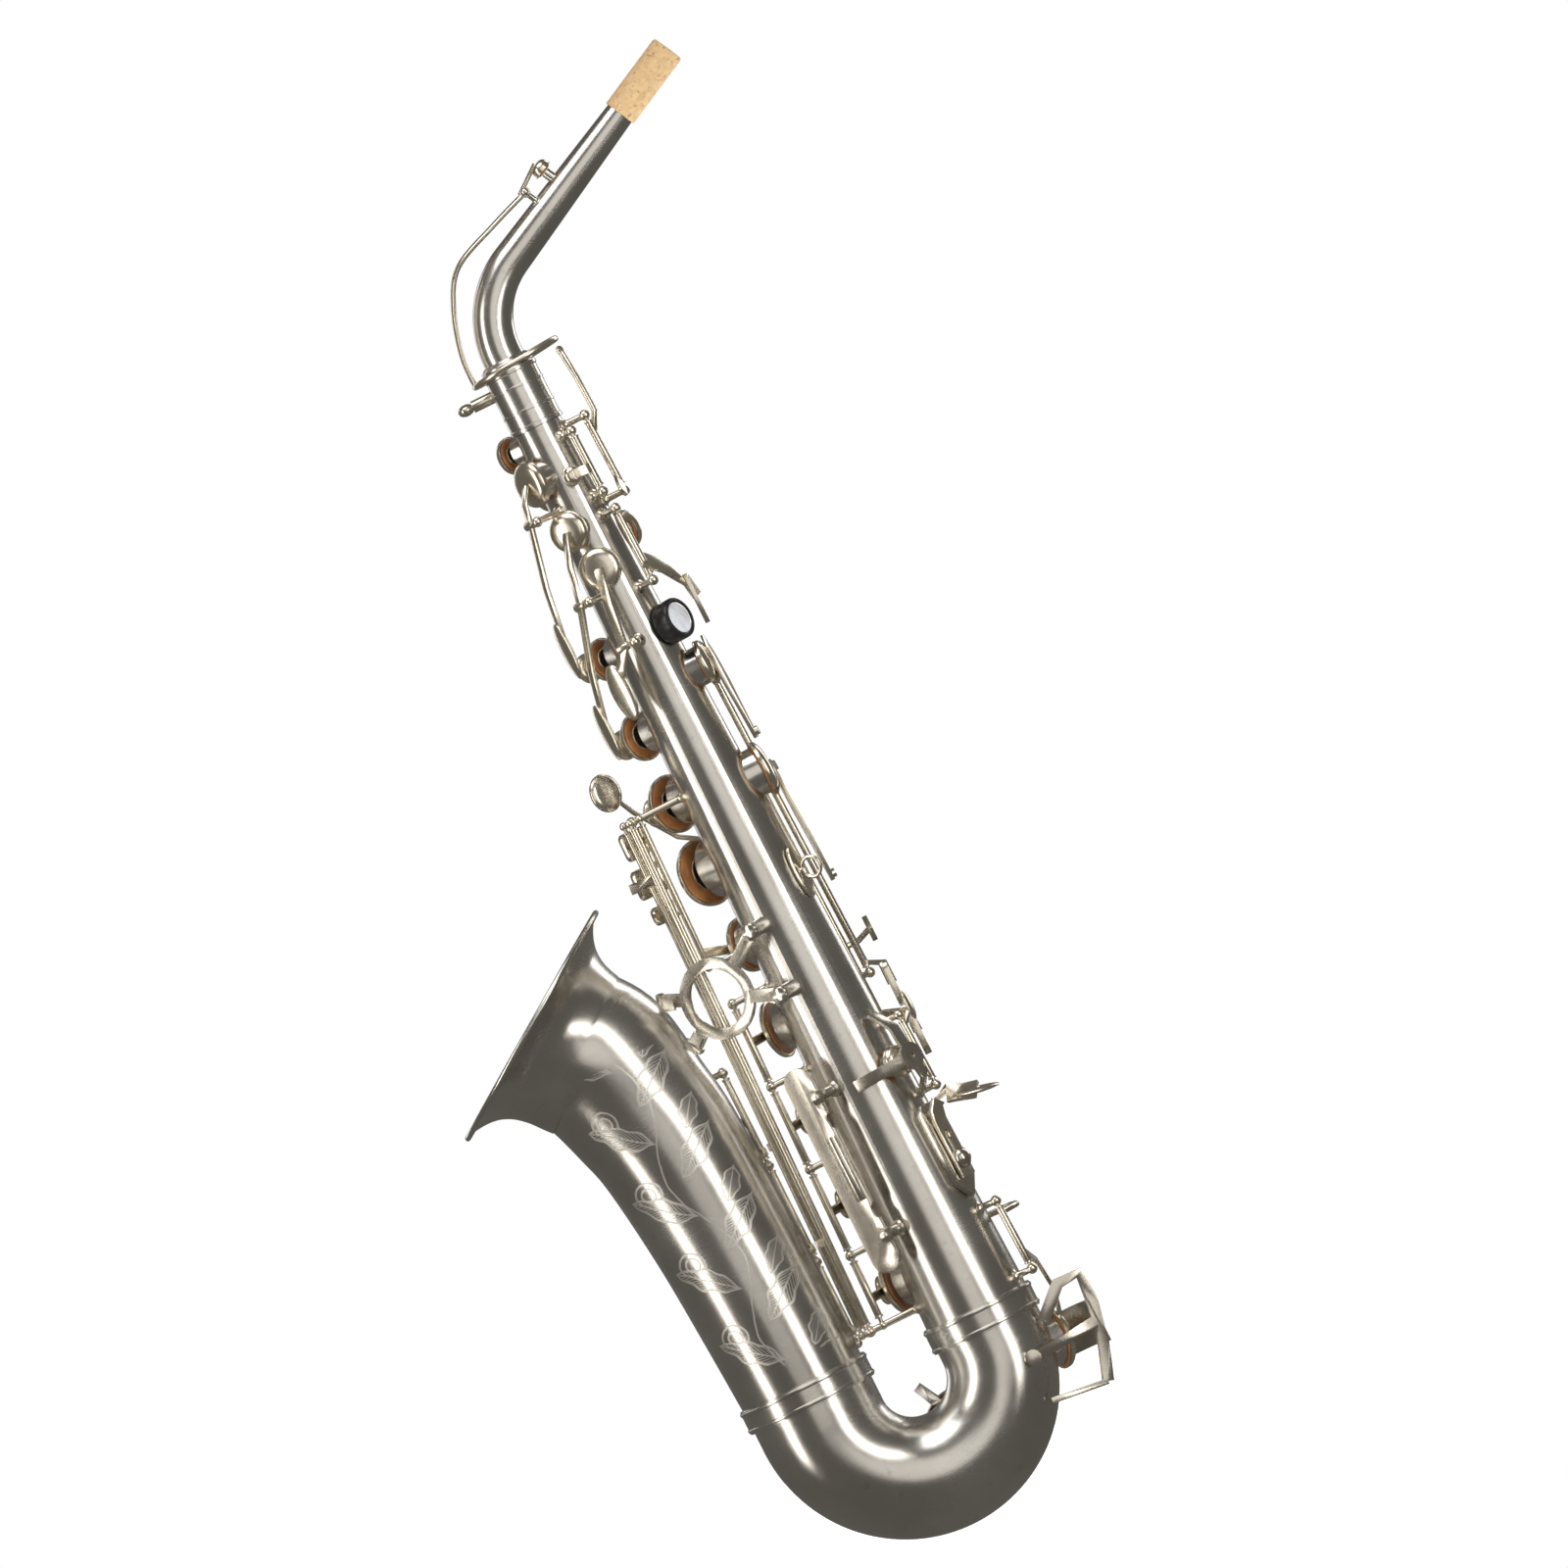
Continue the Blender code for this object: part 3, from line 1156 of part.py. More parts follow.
def bow_keys():
    """Low C and low E flat, worked by the right hand's little finger."""
    name = "low_C_key"
    start, end, axis = along_tube(name)
    centre, normal, radius, _ = low_c_hole()
    top = centre + normal * (CUP_TOP + 0.2)
    steps = [rod_point(name, -214.0), Vector((-7, 41, -221)), Vector((-20, 43, -248)), top]
    touch = skin(112.0, -206.0, 17.0)
    joined = [hinge_tube(start, end), cup(centre, normal, radius), bar(steps, Y, 5.0, 1.8)]
    joined += [bar([rod_point(name, -206.0), touch], outward(110.0), 6.0, 1.8)]
    joined.append(slab(round_outline(14.0, 22.0, 4.0), touch, outward(112.0), Z, 3.0))
    piece = fuse(name, KEYWORK, joined)
    hinge(name + "_hinge", start, opening(start, axis, centre, normal), [piece], LOW_C_OPEN)
    name = "low_E_flat_key"
    start, end, axis = along_tube(name)
    centre, normal, radius, _ = low_e_flat_hole()
    top = centre + normal * (CUP_TOP + 0.2)
    steps = [rod_point(name, -214.0), Vector((36, -5, -222)), Vector((37.5, -1, -238)), top]
    reach = [(31.5, -14, -193), (39.5, 0, -193), (37, 18, -193), (24, 35, -193), (9, 44.5, -193), (2, 45, -196)]
    joined = [hinge_tube(start, end), cup(centre, normal, radius), bar(steps, X, 5.0, 1.8)]
    joined.append(wire([Vector(point) for point in reach], 1.6))
    joined.append(slab(round_outline(10.0, 20.0, 4.0), Vector((1.5, 44.5, -200)), outward(90.0), Z, 3.0))
    hinge(name + "_hinge", start, opening(start, axis, centre, normal), [fuse(name, KEYWORK, joined)])


# ---------------------------------------------------------------- the whole instrument

for left_over in list(bpy.data.objects):
    bpy.data.objects.remove(left_over)

RING_CENTRE = direction(RING_ANGLE) * RING_DISTANCE + Z * RING_HEIGHT
ROOT = empty("saxophone", Matrix.Translation(-RING_CENTRE * MM))

body_tube()
bow()
bell()
receiver()
clamp_screw()
neck()
neck_octave_key()
ferrule("body_bow_ferrule", Vector(), -241.0, -228.5, BOW_START_RADIUS)
ferrule("bell_bow_ferrule", -X * 2 * BOW_RADIUS, -236.0, -224.0, BOW_END_RADIUS + 0.25)
bell_brace()
brace_screws()
strap_ring()
thumb_rest()
thumb_hook()
low_e_flat_guard()
low_c_guard()
bell_key_guard()
trill_key_guard()
stack_guard()
stacks()
left_hand_table()
bell_keys()
palm_keys()
side_keys()
octave_mechanism()
bow_keys()
bpy.context.view_layer.update()
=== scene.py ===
import json
import math

import bpy
from mathutils import Matrix, Vector

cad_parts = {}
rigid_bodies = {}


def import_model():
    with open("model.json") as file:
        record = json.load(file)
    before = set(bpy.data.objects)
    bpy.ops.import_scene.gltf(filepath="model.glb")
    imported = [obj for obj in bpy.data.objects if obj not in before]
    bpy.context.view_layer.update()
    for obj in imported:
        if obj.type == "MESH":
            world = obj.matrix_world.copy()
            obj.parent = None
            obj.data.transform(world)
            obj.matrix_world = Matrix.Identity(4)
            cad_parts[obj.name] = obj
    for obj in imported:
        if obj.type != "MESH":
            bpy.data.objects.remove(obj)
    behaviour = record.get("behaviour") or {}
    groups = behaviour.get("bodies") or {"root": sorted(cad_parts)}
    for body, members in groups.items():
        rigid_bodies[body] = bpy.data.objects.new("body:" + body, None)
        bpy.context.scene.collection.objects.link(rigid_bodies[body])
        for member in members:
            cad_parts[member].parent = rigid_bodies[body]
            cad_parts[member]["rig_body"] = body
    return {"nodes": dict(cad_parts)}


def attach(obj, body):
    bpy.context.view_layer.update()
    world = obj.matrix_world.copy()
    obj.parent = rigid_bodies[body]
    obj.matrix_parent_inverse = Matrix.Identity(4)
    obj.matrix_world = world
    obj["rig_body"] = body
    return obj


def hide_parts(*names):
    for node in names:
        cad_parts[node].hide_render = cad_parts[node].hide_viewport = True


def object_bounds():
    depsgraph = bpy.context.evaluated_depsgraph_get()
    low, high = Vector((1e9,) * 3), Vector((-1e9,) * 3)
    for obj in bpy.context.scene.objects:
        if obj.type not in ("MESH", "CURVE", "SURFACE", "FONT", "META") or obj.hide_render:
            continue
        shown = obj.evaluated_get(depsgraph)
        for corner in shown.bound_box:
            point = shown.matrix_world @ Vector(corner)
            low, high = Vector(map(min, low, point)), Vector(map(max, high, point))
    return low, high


# Looks of an alto saxophone. The shapes below are worked out in millimetres from the
# middle of the body tube, and go to metres from the strap ring when a piece is finished.

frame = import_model()
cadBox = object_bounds()

ringCentre = Vector((23.567, -15.304, -3.3))
intoFrame = Matrix.Scale(0.001, 4) @ Matrix.Translation(-ringCentre)
axisX, axisY, axisZ = Vector((1, 0, 0)), Vector((0, 1, 0)), Vector((0, 0, 1))
print("frame loaded,", len(frame["nodes"]), "nodes")


# places on the instrument

tube = {"top": 245.0, "bottom": -229.0, "topRadius": 12.3, "taper": 0.03, "wall": 0.8}
chimney = {"height": 3.5, "wall": 1.2, "margin": 2.0, "through": 8.0}  # margin: the pad laps over its edge
sides = {"front": 145.0, "back": -35.0, "brace": 240.0}


def level(angle):
    turn = math.radians(angle)
    return Vector((math.cos(turn), math.sin(turn), 0.0))


def tubeRadius(z):
    return tube["topRadius"] + (tube["top"] - z) * tube["taper"]


def onTube(angle, z, out=0.0, side=0.0):
    return level(angle) * (tubeRadius(z) + out) + level(angle + 90.0) * side + axisZ * z


def awayFromTube(angle):
    return (level(angle) + axisZ * tube["taper"]).normalized()


def upTube(angle):
    return (axisZ - level(angle) * tube["taper"]).normalized()


def aim(point, axis):
    return Matrix.Translation(point) @ axisZ.rotation_difference(axis.normalized()).to_matrix().to_4x4()


# modelling by operators

def pick(*objects):
    if bpy.context.mode != "OBJECT":
        bpy.ops.object.mode_set(mode="OBJECT")
    bpy.ops.object.select_all(action="DESELECT")
    for each in objects:
        each.select_set(True)
    bpy.context.view_layer.objects.active = objects[0]


def bake(shape):
    shape.data.transform(shape.matrix_basis)
    shape.matrix_basis = Matrix.Identity(4)
    return shape


def soften(shape, width, segments=2, angle=35.0):
    pick(shape)
    rounding = shape.modifiers.new("rounding", "BEVEL")
    rounding.width = width
    rounding.segments = segments
    rounding.limit_method = "ANGLE"
    rounding.angle_limit = math.radians(angle)
    rounding.harden_normals = False
    bpy.ops.object.modifier_apply(modifier=rounding.name)
    return shape


def combine(base, others, operation):
    pick(base)
    for other in others:
        step = base.modifiers.new(operation, "BOOLEAN")
        step.operation = operation
        step.solver = "MANIFOLD"
        step.object = other
        bpy.ops.object.modifier_apply(modifier=step.name)
    for other in others:
        bpy.data.objects.remove(other)
    return base


def line(points, closed=False):
    drawn = bpy.data.curves.new("line", "CURVE")
    drawn.dimensions = "3D"
    spline = drawn.splines.new("POLY")
    spline.points.add(len(points) - 1)
    for spot, point in zip(spline.points, points):
        spot.co = (*point, 1.0)
    spline.use_cyclic_u = closed
    shape = bpy.data.objects.new("line", drawn)
    bpy.context.scene.collection.objects.link(shape)
    return shape


def toMesh(shape):
    pick(shape)
    bpy.ops.object.convert(target="MESH")
    return bpy.context.object


def mend(shape):
    pick(shape)
    bpy.ops.object.mode_set(mode="EDIT")
    bpy.ops.mesh.select_all(action="SELECT")
    bpy.ops.mesh.remove_doubles(threshold=0.0005)
    bpy.ops.mesh.normals_make_consistent(inside=False)
    bpy.ops.object.mode_set(mode="OBJECT")
    return shape


def pipe(points, radii, rounds=4, closed=False):
    shape = line(points, closed)
    shape.data.bevel_depth = 1.0
    shape.data.bevel_resolution = rounds
    shape.data.use_fill_caps = not closed
    for spot, radius in zip(shape.data.splines[0].points, radii):
        spot.radius = radius
    return mend(toMesh(shape))


def turned(profile, steps=48):
    shape = toMesh(line([Vector((r, 0.0, h)) for r, h in profile], closed=profile[0][0] > 0.0))
    spun = shape.modifiers.new("spun", "SCREW")
    spun.steps = spun.render_steps = steps
    spun.use_merge_vertices = True
    spun.merge_threshold = 0.001
    pick(shape)
    bpy.ops.object.modifier_apply(modifier=spun.name)
    return mend(shape)


def cylinder(start, end, radius, corners=32):
    run = end - start
    bpy.ops.object.select_all(action="DESELECT")
    bpy.ops.mesh.primitive_cylinder_add(vertices=corners, radius=radius, depth=run.length)
    shape = bpy.context.object
    shape.data.transform(aim((start + end) / 2, run))
    return shape


def join(shapes):
    pick(*shapes)
    if len(shapes) > 1:
        bpy.ops.object.join()
    return bpy.context.object


def smoothPath(points, steps=6, closed=False):
    many = []
    count = len(points)
    for i in range(count if closed else count - 1):
        if closed:
            a, b, c, d = (points[(i + k) % count] for k in (-1, 0, 1, 2))
        else:
            a, b = points[max(i - 1, 0)], points[i]
            c, d = points[i + 1], points[min(i + 2, count - 1)]
        for k in range(steps):
            t = k / steps
            bend, twist = a * 2 - b * 5 + c * 4 - d, b * 3 - a - c * 3 + d
            many.append((b * 2 + (c - a) * t + bend * t**2 + twist * t**3) * 0.5)
    return many if closed else many + [points[-1]]


def finish(name, shape, body, finishing, angle=30.0, stands=()):
    shape.name = shape.data.name = name
    bake(shape).data.transform(intoFrame)
    pick(shape)
    bpy.ops.object.shade_smooth_by_angle(angle=math.radians(angle))
    shape.data.materials.clear()
    shape.data.materials.append(finishing)
    for face in shape.data.polygons:
        face.material_index = 0
    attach(shape, body)
    if stands:
        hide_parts(*stands)
    return shape


# shader maths

class Channel:  # a node's output, on which sums add Math nodes
    def __init__(self, sheet, socket):
        self.sheet = sheet
        self.socket = socket

    def maths(self, operation, first, second=0.0):
        return self.sheet.add("ShaderNodeMath", {"operation": operation}, {0: first, 1: second})

    def __add__(self, other):
        return self.maths("ADD", self, other)

    def __radd__(self, other):
        return self.maths("ADD", other, self)

    def __sub__(self, other):
        return self.maths("SUBTRACT", self, other)

    def __rsub__(self, other):
        return self.maths("SUBTRACT", other, self)

    def __mul__(self, other):
        return self.maths("MULTIPLY", self, other)

    def __rmul__(self, other):
        return self.maths("MULTIPLY", other, self)

    def __truediv__(self, other):
        return self.maths("DIVIDE", self, other)

    def __lt__(self, other):
        return self.maths("LESS_THAN", self, other)

    def __gt__(self, other):
        return self.maths("GREATER_THAN", self, other)

    def __abs__(self):
        return self.maths("ABSOLUTE", self)

    def wave(self):
        return self.maths("SINE", self)

    def within(self):  # what is left after whole numbers, from -0.5 to 0.5
        return self.maths("FRACT", self) - 0.5

    def either(self, other):
        return self.maths("MAXIMUM", self, other)


class Sheet:  # one material's nodes
    def __init__(self, name):
        self.material = bpy.data.materials.new(name)
        self.material.use_nodes = True
        self.tree = self.material.node_tree
        self.shader = self.tree.nodes["Principled BSDF"]

    def add(self, kind, settings, inputs, output=0):
        node = self.tree.nodes.new(kind)
        for setting, value in settings.items():
            if setting == "stops":
                for extra in value[2:]:
                    node.color_ramp.elements.new(extra[0])
                for stop, (place, shade) in zip(node.color_ramp.elements, sorted(value)):
                    stop.position = place
                    stop.color = (*shade, 1.0)
            else:
                setattr(node, setting, value)
        for key, value in inputs.items():
            if isinstance(value, Channel):
                self.tree.links.new(value.socket, node.inputs[key])
            else:
                node.inputs[key].default_value = value
        return Channel(self, node.outputs[output])

    def place(self, stretch=(1.0, 1.0, 1.0)):
        spot = self.add("ShaderNodeTexCoord", {}, {}, "Object")
        return self.add("ShaderNodeMapping", {}, {"Vector": spot, "Scale": stretch})

    def noise(self, scale, detail=3.0, stretch=(1.0, 1.0, 1.0), roughness=0.55):
        inputs = {"Vector": self.place(stretch), "Scale": scale, "Detail": detail, "Roughness": roughness}
        return self.add("ShaderNodeTexNoise", {}, inputs)

    def blend(self, share, low, high):
        low, high = [c if isinstance(c, Channel) else (*c, 1.0) for c in (low, high)]
        return self.add("ShaderNodeMix", {"data_type": "RGBA"}, {0: share, 6: low, 7: high}, 2)

    def spread(self, value, low, high):  # stretches low..high over 0..1
        return self.add("ShaderNodeMapRange", {}, {"Value": value, "From Min": low, "From Max": high})

    def bump(self, height, strength, distance):
        return self.add("ShaderNodeBump", {}, {"Height": height, "Strength": strength, "Distance": distance})

    def give(self, **inputs):
        for key, value in inputs.items():
            name = {"colour": "Base Color", "roughness": "Roughness", "metal": "Metallic", "normal": "Normal",
                    "coat": "Coat Weight", "coatRoughness": "Coat Roughness"}[key]
            if isinstance(value, Channel):
                self.tree.links.new(value.socket, self.shader.inputs[name])
            else:
                self.shader.inputs[name].default_value = (*value, 1.0) if isinstance(value, tuple) else value
        return self.material


# finishes

def metal(name, look, engraved=False):
    sheet = Sheet(name)
    cloud = sheet.noise(look["cloudScale"], 4.0)
    grain = sheet.noise(look["grainScale"], 2.0, look["grainStretch"])
    scratch = sheet.noise(look["grainScale"] * 2.2, 1.0, look["grainStretch"])
    spots = sheet.spread(sheet.noise(look["spotScale"], 5.0), 0.62, 0.74)
    colour = sheet.blend(sheet.spread(cloud, 0.35, 0.65), look["shade"], look["tint"])
    colour = sheet.blend(spots * look["tarnish"], colour, look["stain"])
    rough = look["roughness"] + (cloud - 0.5) * look["cloudRough"] + (grain - 0.5) * look["grainRough"]
    rough = rough + spots * look["tarnish"] * 0.12
    height = grain * 0.6 + scratch * 0.4
    if engraved:
        cut = engraving(sheet)
        colour = sheet.blend(cut * 0.85, colour, engravingLook["line"])
        rough = rough + cut * engravingLook["roughness"]
        height = height - cut * engravingLook["depth"]
    normal = sheet.bump(height, look["bump"], 0.0002)
    return sheet.give(colour=colour, roughness=rough, metal=1.0, normal=normal)


engravingLook = {"line": (0.90, 0.88, 0.84), "roughness": 0.22, "depth": 2.0, "leaf": 15.0, "period": 40.0}


def engraving(sheet):  # a stem with leaves and scrolls along it, cut into the bell's left side
    spot = sheet.add("ShaderNodeTexCoord", {}, {}, "Object")
    parts = {n: sheet.add("ShaderNodeSeparateXYZ", {}, {0: spot}, n) for n in ("X", "Y", "Z")}
    up = parts["Z"] * 1000.0 - 3.3
    across = parts["X"] * 1000.0 + 23.567 + 91.0 + (up + 212.0) * 0.085
    wobble = sheet.noise(55.0, 2.0) - 0.5
    up = up + wobble * 3.0
    across = across + wobble * 4.0
    stem = abs(across - 7.0 * (up * 0.072).wave()) < 0.42
    lines = stem
    for side, shift, tilt, wide in ((1.0, 0.0, 38.0, 5.6), (-1.0, 0.5, -38.0, 5.2), (1.0, 0.55, 52.0, 4.0)):
        long = (up / engravingLook["period"] + shift).within() * engravingLook["period"]
        off = across - side * (14.0 if wide > 4.5 else 20.0)
        c, s = math.cos(math.radians(tilt)), math.sin(math.radians(tilt))
        along = (off * c + long * s) / (engravingLook["leaf"] if wide > 4.5 else 9.0)
        over = abs(long * c - off * s) / wide
        shape = over + along * along + (along * 9.0).wave() * 0.10
        inside = shape < 1.0
        edge = abs(shape - 1.0) < 0.11
        vein = (over < 0.07) * inside
        hatch = (abs(((along + over * 0.55) * 6.5).within()) < 0.10) * inside
        lines = lines.either(edge).either(vein).either(hatch)
    long = (up / engravingLook["period"] + 0.25).within() * engravingLook["period"]
    off = across + 17.0
    reach = (off * off + long * long).maths("SQRT", off * off + long * long)
    curl = (abs(reach - 6.2) < 0.5).either(abs(reach - 3.4) < 0.45) * (long > -4.6)
    lines = lines.either(curl)
    region = (up > -212.0) * (up < -46.0) * (abs(across) < 33.0) * (parts["Y"] < 0.002)
    return lines * region


def leather(name, look):
    sheet = Sheet(name)
    cells = sheet.add("ShaderNodeTexVoronoi", {"feature": "DISTANCE_TO_EDGE"},
                      {"Vector": sheet.place(), "Scale": look["grainScale"]})
    worn = sheet.noise(look["wornScale"], 4.0)
    fold = sheet.spread(cells, 0.0, 0.12)
    colour = sheet.blend(sheet.spread(worn, 0.35, 0.68), look["dark"], look["tint"])
    colour = sheet.blend((1 - fold) * 0.5, colour, look["dark"])
    normal = sheet.bump(fold + worn * 0.5, 0.5, 0.0001)
    return sheet.give(colour=colour, roughness=look["roughness"] + (worn - 0.5) * 0.25, normal=normal)


def corkSheet(name, look):
    sheet = Sheet(name)
    inputs = {"Vector": sheet.place(), "Scale": look["bitScale"]}
    bits = sheet.add("ShaderNodeTexVoronoi", {}, inputs, "Color")
    bit = sheet.add("ShaderNodeSeparateColor", {}, {0: bits}, 0)
    pores = sheet.spread(sheet.noise(look["poreScale"], 3.0), 0.60, 0.68)
    streaks = sheet.noise(160.0, 3.0, (1.0, 1.0, 4.0))
    colour = sheet.blend(bit, look["dark"], look["tint"])
    colour = sheet.blend(streaks * 0.4, colour, look["pale"])
    colour = sheet.blend(pores * 0.75, colour, look["pore"])
    normal = sheet.bump(bit * 0.3 - pores, 0.6, 0.0002)
    return sheet.give(colour=colour, roughness=0.78 + (bit - 0.5) * 0.15, normal=normal)


def moulded(name, look):
    sheet = Sheet(name)
    fine = sheet.noise(look["grainScale"], 3.0)
    wear = sheet.spread(sheet.noise(90.0, 4.0), 0.5, 0.75)
    colour = sheet.blend(wear * 0.5, look["tint"], look["worn"])
    rough = look["roughness"] + (fine - 0.5) * 0.2 + wear * 0.12
    return sheet.give(colour=colour, roughness=rough, normal=sheet.bump(fine, look["bump"], 0.0001))


def motherOfPearl(name, look):
    sheet = Sheet(name)
    bands = sheet.noise(look["bandScale"], 5.0, (1.0, 1.0, 2.4), 0.65)
    flow = sheet.add("ShaderNodeTexWave", {"wave_type": "BANDS", "bands_direction": "DIAGONAL"},
                     {"Vector": sheet.place(), "Scale": 70.0, "Distortion": 9.0, "Detail": 3.0})
    colour = sheet.add("ShaderNodeValToRGB", {"stops": look["stops"]}, {0: bands * 0.7 + flow * 0.3})
    return sheet.give(colour=colour, roughness=look["roughness"] + flow * 0.08, coat=0.6, coatRoughness=0.05,
                      normal=sheet.bump(flow, 0.06, 0.0001))


finishLooks = {
    "satin": {"tint": (0.76, 0.745, 0.715), "shade": (0.65, 0.63, 0.595), "stain": (0.36, 0.30, 0.22),
              "roughness": 0.235, "cloudScale": 22.0, "grainScale": 260.0, "grainStretch": (1.0, 1.0, 9.0),
              "spotScale": 120.0, "tarnish": 0.24, "cloudRough": 0.16, "grainRough": 0.14, "bump": 0.10},
    "keywork": {"tint": (0.93, 0.875, 0.76), "shade": (0.84, 0.77, 0.64), "stain": (0.45, 0.33, 0.20),
                "roughness": 0.25, "cloudScale": 45.0, "grainScale": 420.0, "grainStretch": (1.0, 1.0, 1.6),
                "spotScale": 210.0, "tarnish": 0.16, "cloudRough": 0.12, "grainRough": 0.08, "bump": 0.06},
    "sheetSilver": {"tint": (0.79, 0.75, 0.67), "shade": (0.66, 0.62, 0.55), "stain": (0.40, 0.32, 0.22),
                    "roughness": 0.26, "cloudScale": 40.0, "grainScale": 340.0,
                    "grainStretch": (1.0, 6.0, 1.0), "spotScale": 180.0, "tarnish": 0.35,
                    "cloudRough": 0.14, "grainRough": 0.12, "bump": 0.10},
    "screw": {"tint": (0.80, 0.77, 0.70), "shade": (0.62, 0.58, 0.52), "stain": (0.30, 0.24, 0.18),
              "roughness": 0.22, "cloudScale": 150.0, "grainScale": 900.0, "grainStretch": (1.0, 1.0, 1.0),
              "spotScale": 400.0, "tarnish": 0.45, "cloudRough": 0.16, "grainRough": 0.12, "bump": 0.10},
}

satin = metal("satinSilver", finishLooks["satin"])
satinEngraved = metal("satinSilverEngraved", finishLooks["satin"], engraved=True)
keywork = metal("keyworkSilver", finishLooks["keywork"])
sheetSilver = metal("sheetSilver", finishLooks["sheetSilver"])
screwSteel = metal("screwSteel", finishLooks["screw"])
padLeather = leather("padLeather", {"tint": (0.50, 0.22, 0.07), "dark": (0.27, 0.10, 0.03),
                                    "grainScale": 900.0, "wornScale": 130.0, "roughness": 0.50})
cork = corkSheet("cork", {"tint": (0.80, 0.56, 0.30), "dark": (0.66, 0.42, 0.20), "pale": (0.88, 0.68, 0.42),
                          "pore": (0.34, 0.18, 0.08), "bitScale": 520.0, "poreScale": 420.0})
blackPlastic = moulded("blackPlastic", {"tint": (0.012, 0.012, 0.013), "worn": (0.05, 0.048, 0.045),
                                        "roughness": 0.30, "grainScale": 700.0, "bump": 0.15})
pearl = motherOfPearl("pearl", {"bandScale": 110.0, "roughness": 0.14,
                                "stops": [(0.0, (0.46, 0.55, 0.78)), (1.0, (0.90, 0.93, 0.98)),
                                          (0.35, (0.66, 0.74, 0.90)), (0.55, (0.86, 0.84, 0.90)),
                                          (0.75, (0.70, 0.82, 0.90))]})
print("finishes made")


# where the keys are: tone hole height, cup radius and the hinge tube's two ends

upperStack = {"C_key": (130.0, 10.5, 148.0, 110.0), "B_key": (89.0, 12.0, 110.0, 72.0),
              "A_key": (53.0, 14.3, 72.0, 36.0), "G_key": (16.5, 16.6, 36.0, -2.0)}
lowerStack = {"F_sharp_key": (-67.0, 14.3, -46.0, -90.0), "F_key": (-112.0, 14.6, -90.0, -134.0),
              "E_key": (-157.0, 14.8, -134.0, -180.0), "D_key": (-203.0, 14.8, -180.0, -216.0)}
stackRods = {"upper": (9.0, -20.0), "lower": (11.0, 24.0)}
opened = {"stack": 12.0, "bell": 8.0, "low C": 8.0}
palmHoles = {"palm_F_key": (216.0, 221.0, 11.4), "palm_E_flat_key": (242.0, 192.5, 9.8),
             "palm_D_key": (260.0, 170.0, 10.2)}
palmHinges = {"palm_F_key": (216.0, 203.7, Vector((-35.4, -14.0, 141.5))),
              "palm_E_flat_key": (228.0, 158.0, Vector((-35.8, -15.0, 98.0))),
              "palm_D_key": (250.0, 131.0, Vector((-20.5, -24.0, 112.0)))}
tubeHoles = {"side_C_key": (-8.0, 107.0, 11.6), "side_B_flat_key": (6.0, 49.0, 14.0),
             "side_E_key": (35.0, 182.0, 9.5), "high_F_sharp_key": (118.0, 214.0, 9.0),
             "F_sharp_trill_key": (-48.0, -106.0, 8.0), "body_octave_key": (-75.0, 216.0, 4.8),
             "high_vent_key": (149.0, 238.0, 9.2)}
tubeRods = {"side_C_key": (40.0, 12.5, -62.0, 112.0), "side_B_flat_key": (50.0, 11.0, -92.0, 54.0),
            "side_E_key": (68.0, 8.0, -56.0, 192.0), "high_F_sharp_key": (88.0, 9.0, -40.0, 224.0),
            "F_sharp_trill_key": (-20.0, 9.0, -124.0, -86.0),
            "thumb_octave_lever": (-48.5, 10.5, 154.0, 193.0),
            "octave_rocker": (-14.0, 11.0, 199.0, 240.0), "body_octave_key": (-46.0, 7.0, 203.0, 236.0),
            "high_vent_key": (100.0, 7.0, 228.0, 243.0), "low_E_flat_key": (-24.0, 9.0, -224.0, -187.0),
            "low_C_key": (87.0, 10.0, -224.0, -178.0)}
gSharpHole = (-23.6, 13.6)
tableLevers = {"G_sharp_key": (13.0, 26.5), "C_sharp_lever": (17.0, 27.5), "B_flat_lever": (21.0, 29.5),
               "B_lever": (15.5, 32.0)}
tableEnds = {"top": 54.0, "bottom": -217.0, "gSharp": -25.0}
bellKeys = {"low_B_key": (-150.0, 20.0, 90.0, -176.0, -124.0),
            "low_B_flat_key": (-100.0, 21.0, 90.0, -124.0, -74.0),
            "low_C_sharp_key": (-203.0, 16.5, 112.0, -220.0, -176.0)}
bellPosts = (-74.0, -124.0, -176.0, -220.0)
bowShape = {"bend": 45.75, "straight": 18.4, "startRadius": 26.6, "endRadius": 31.4, "gap": 0.3}
bellShape = {"tilt": 34.0, "throat": 40.3, "rim": 62.5, "flare": 8.0, "bead": 1.4}


def rimAxis():
    tilt = math.radians(bellShape["tilt"])
    return Vector((-math.sin(tilt), 0.0, math.cos(tilt)))


def bellStops():
    places = [(-91.5, -228.1, 31.6), (-92.5, -188.0, 32.8), (-94.3, -141.5, 34.2), (-98.0, -94.5, 36.4),
              (-102.8, -70.0, 38.0)]
    rim = Vector((-131.6, 0.0, -11.8))
    for t in (40.0, 26.0, 17.0, 11.0, 7.0, 4.0, 1.6, 0.0):
        spot = rim - rimAxis() * t
        widening = bellShape["rim"] - bellShape["throat"]
        radius = bellShape["throat"] + widening * math.exp(-t / bellShape["flare"])
        places.append((spot.x, spot.z, radius))
    return [Vector(stop) for stop in places]


def bellAt(z):
    stops = bellStops()
    for low, high in zip(stops, stops[1:]):
        if high.y >= z:
            found = low.lerp(high, (z - low.y) / (high.y - low.y))
            return Vector((found.x, 0.0, found.y)), found.z
    return Vector((stops[-1].x, 0.0, stops[-1].y)), stops[-1].z


def onBell(z, angle):
    centre, radius = bellAt(z)
    return centre + level(angle) * radius, level(angle)


def bellRod(z):
    return Vector((-91.5, 0.0, z)) + level(42.0) * 43.0


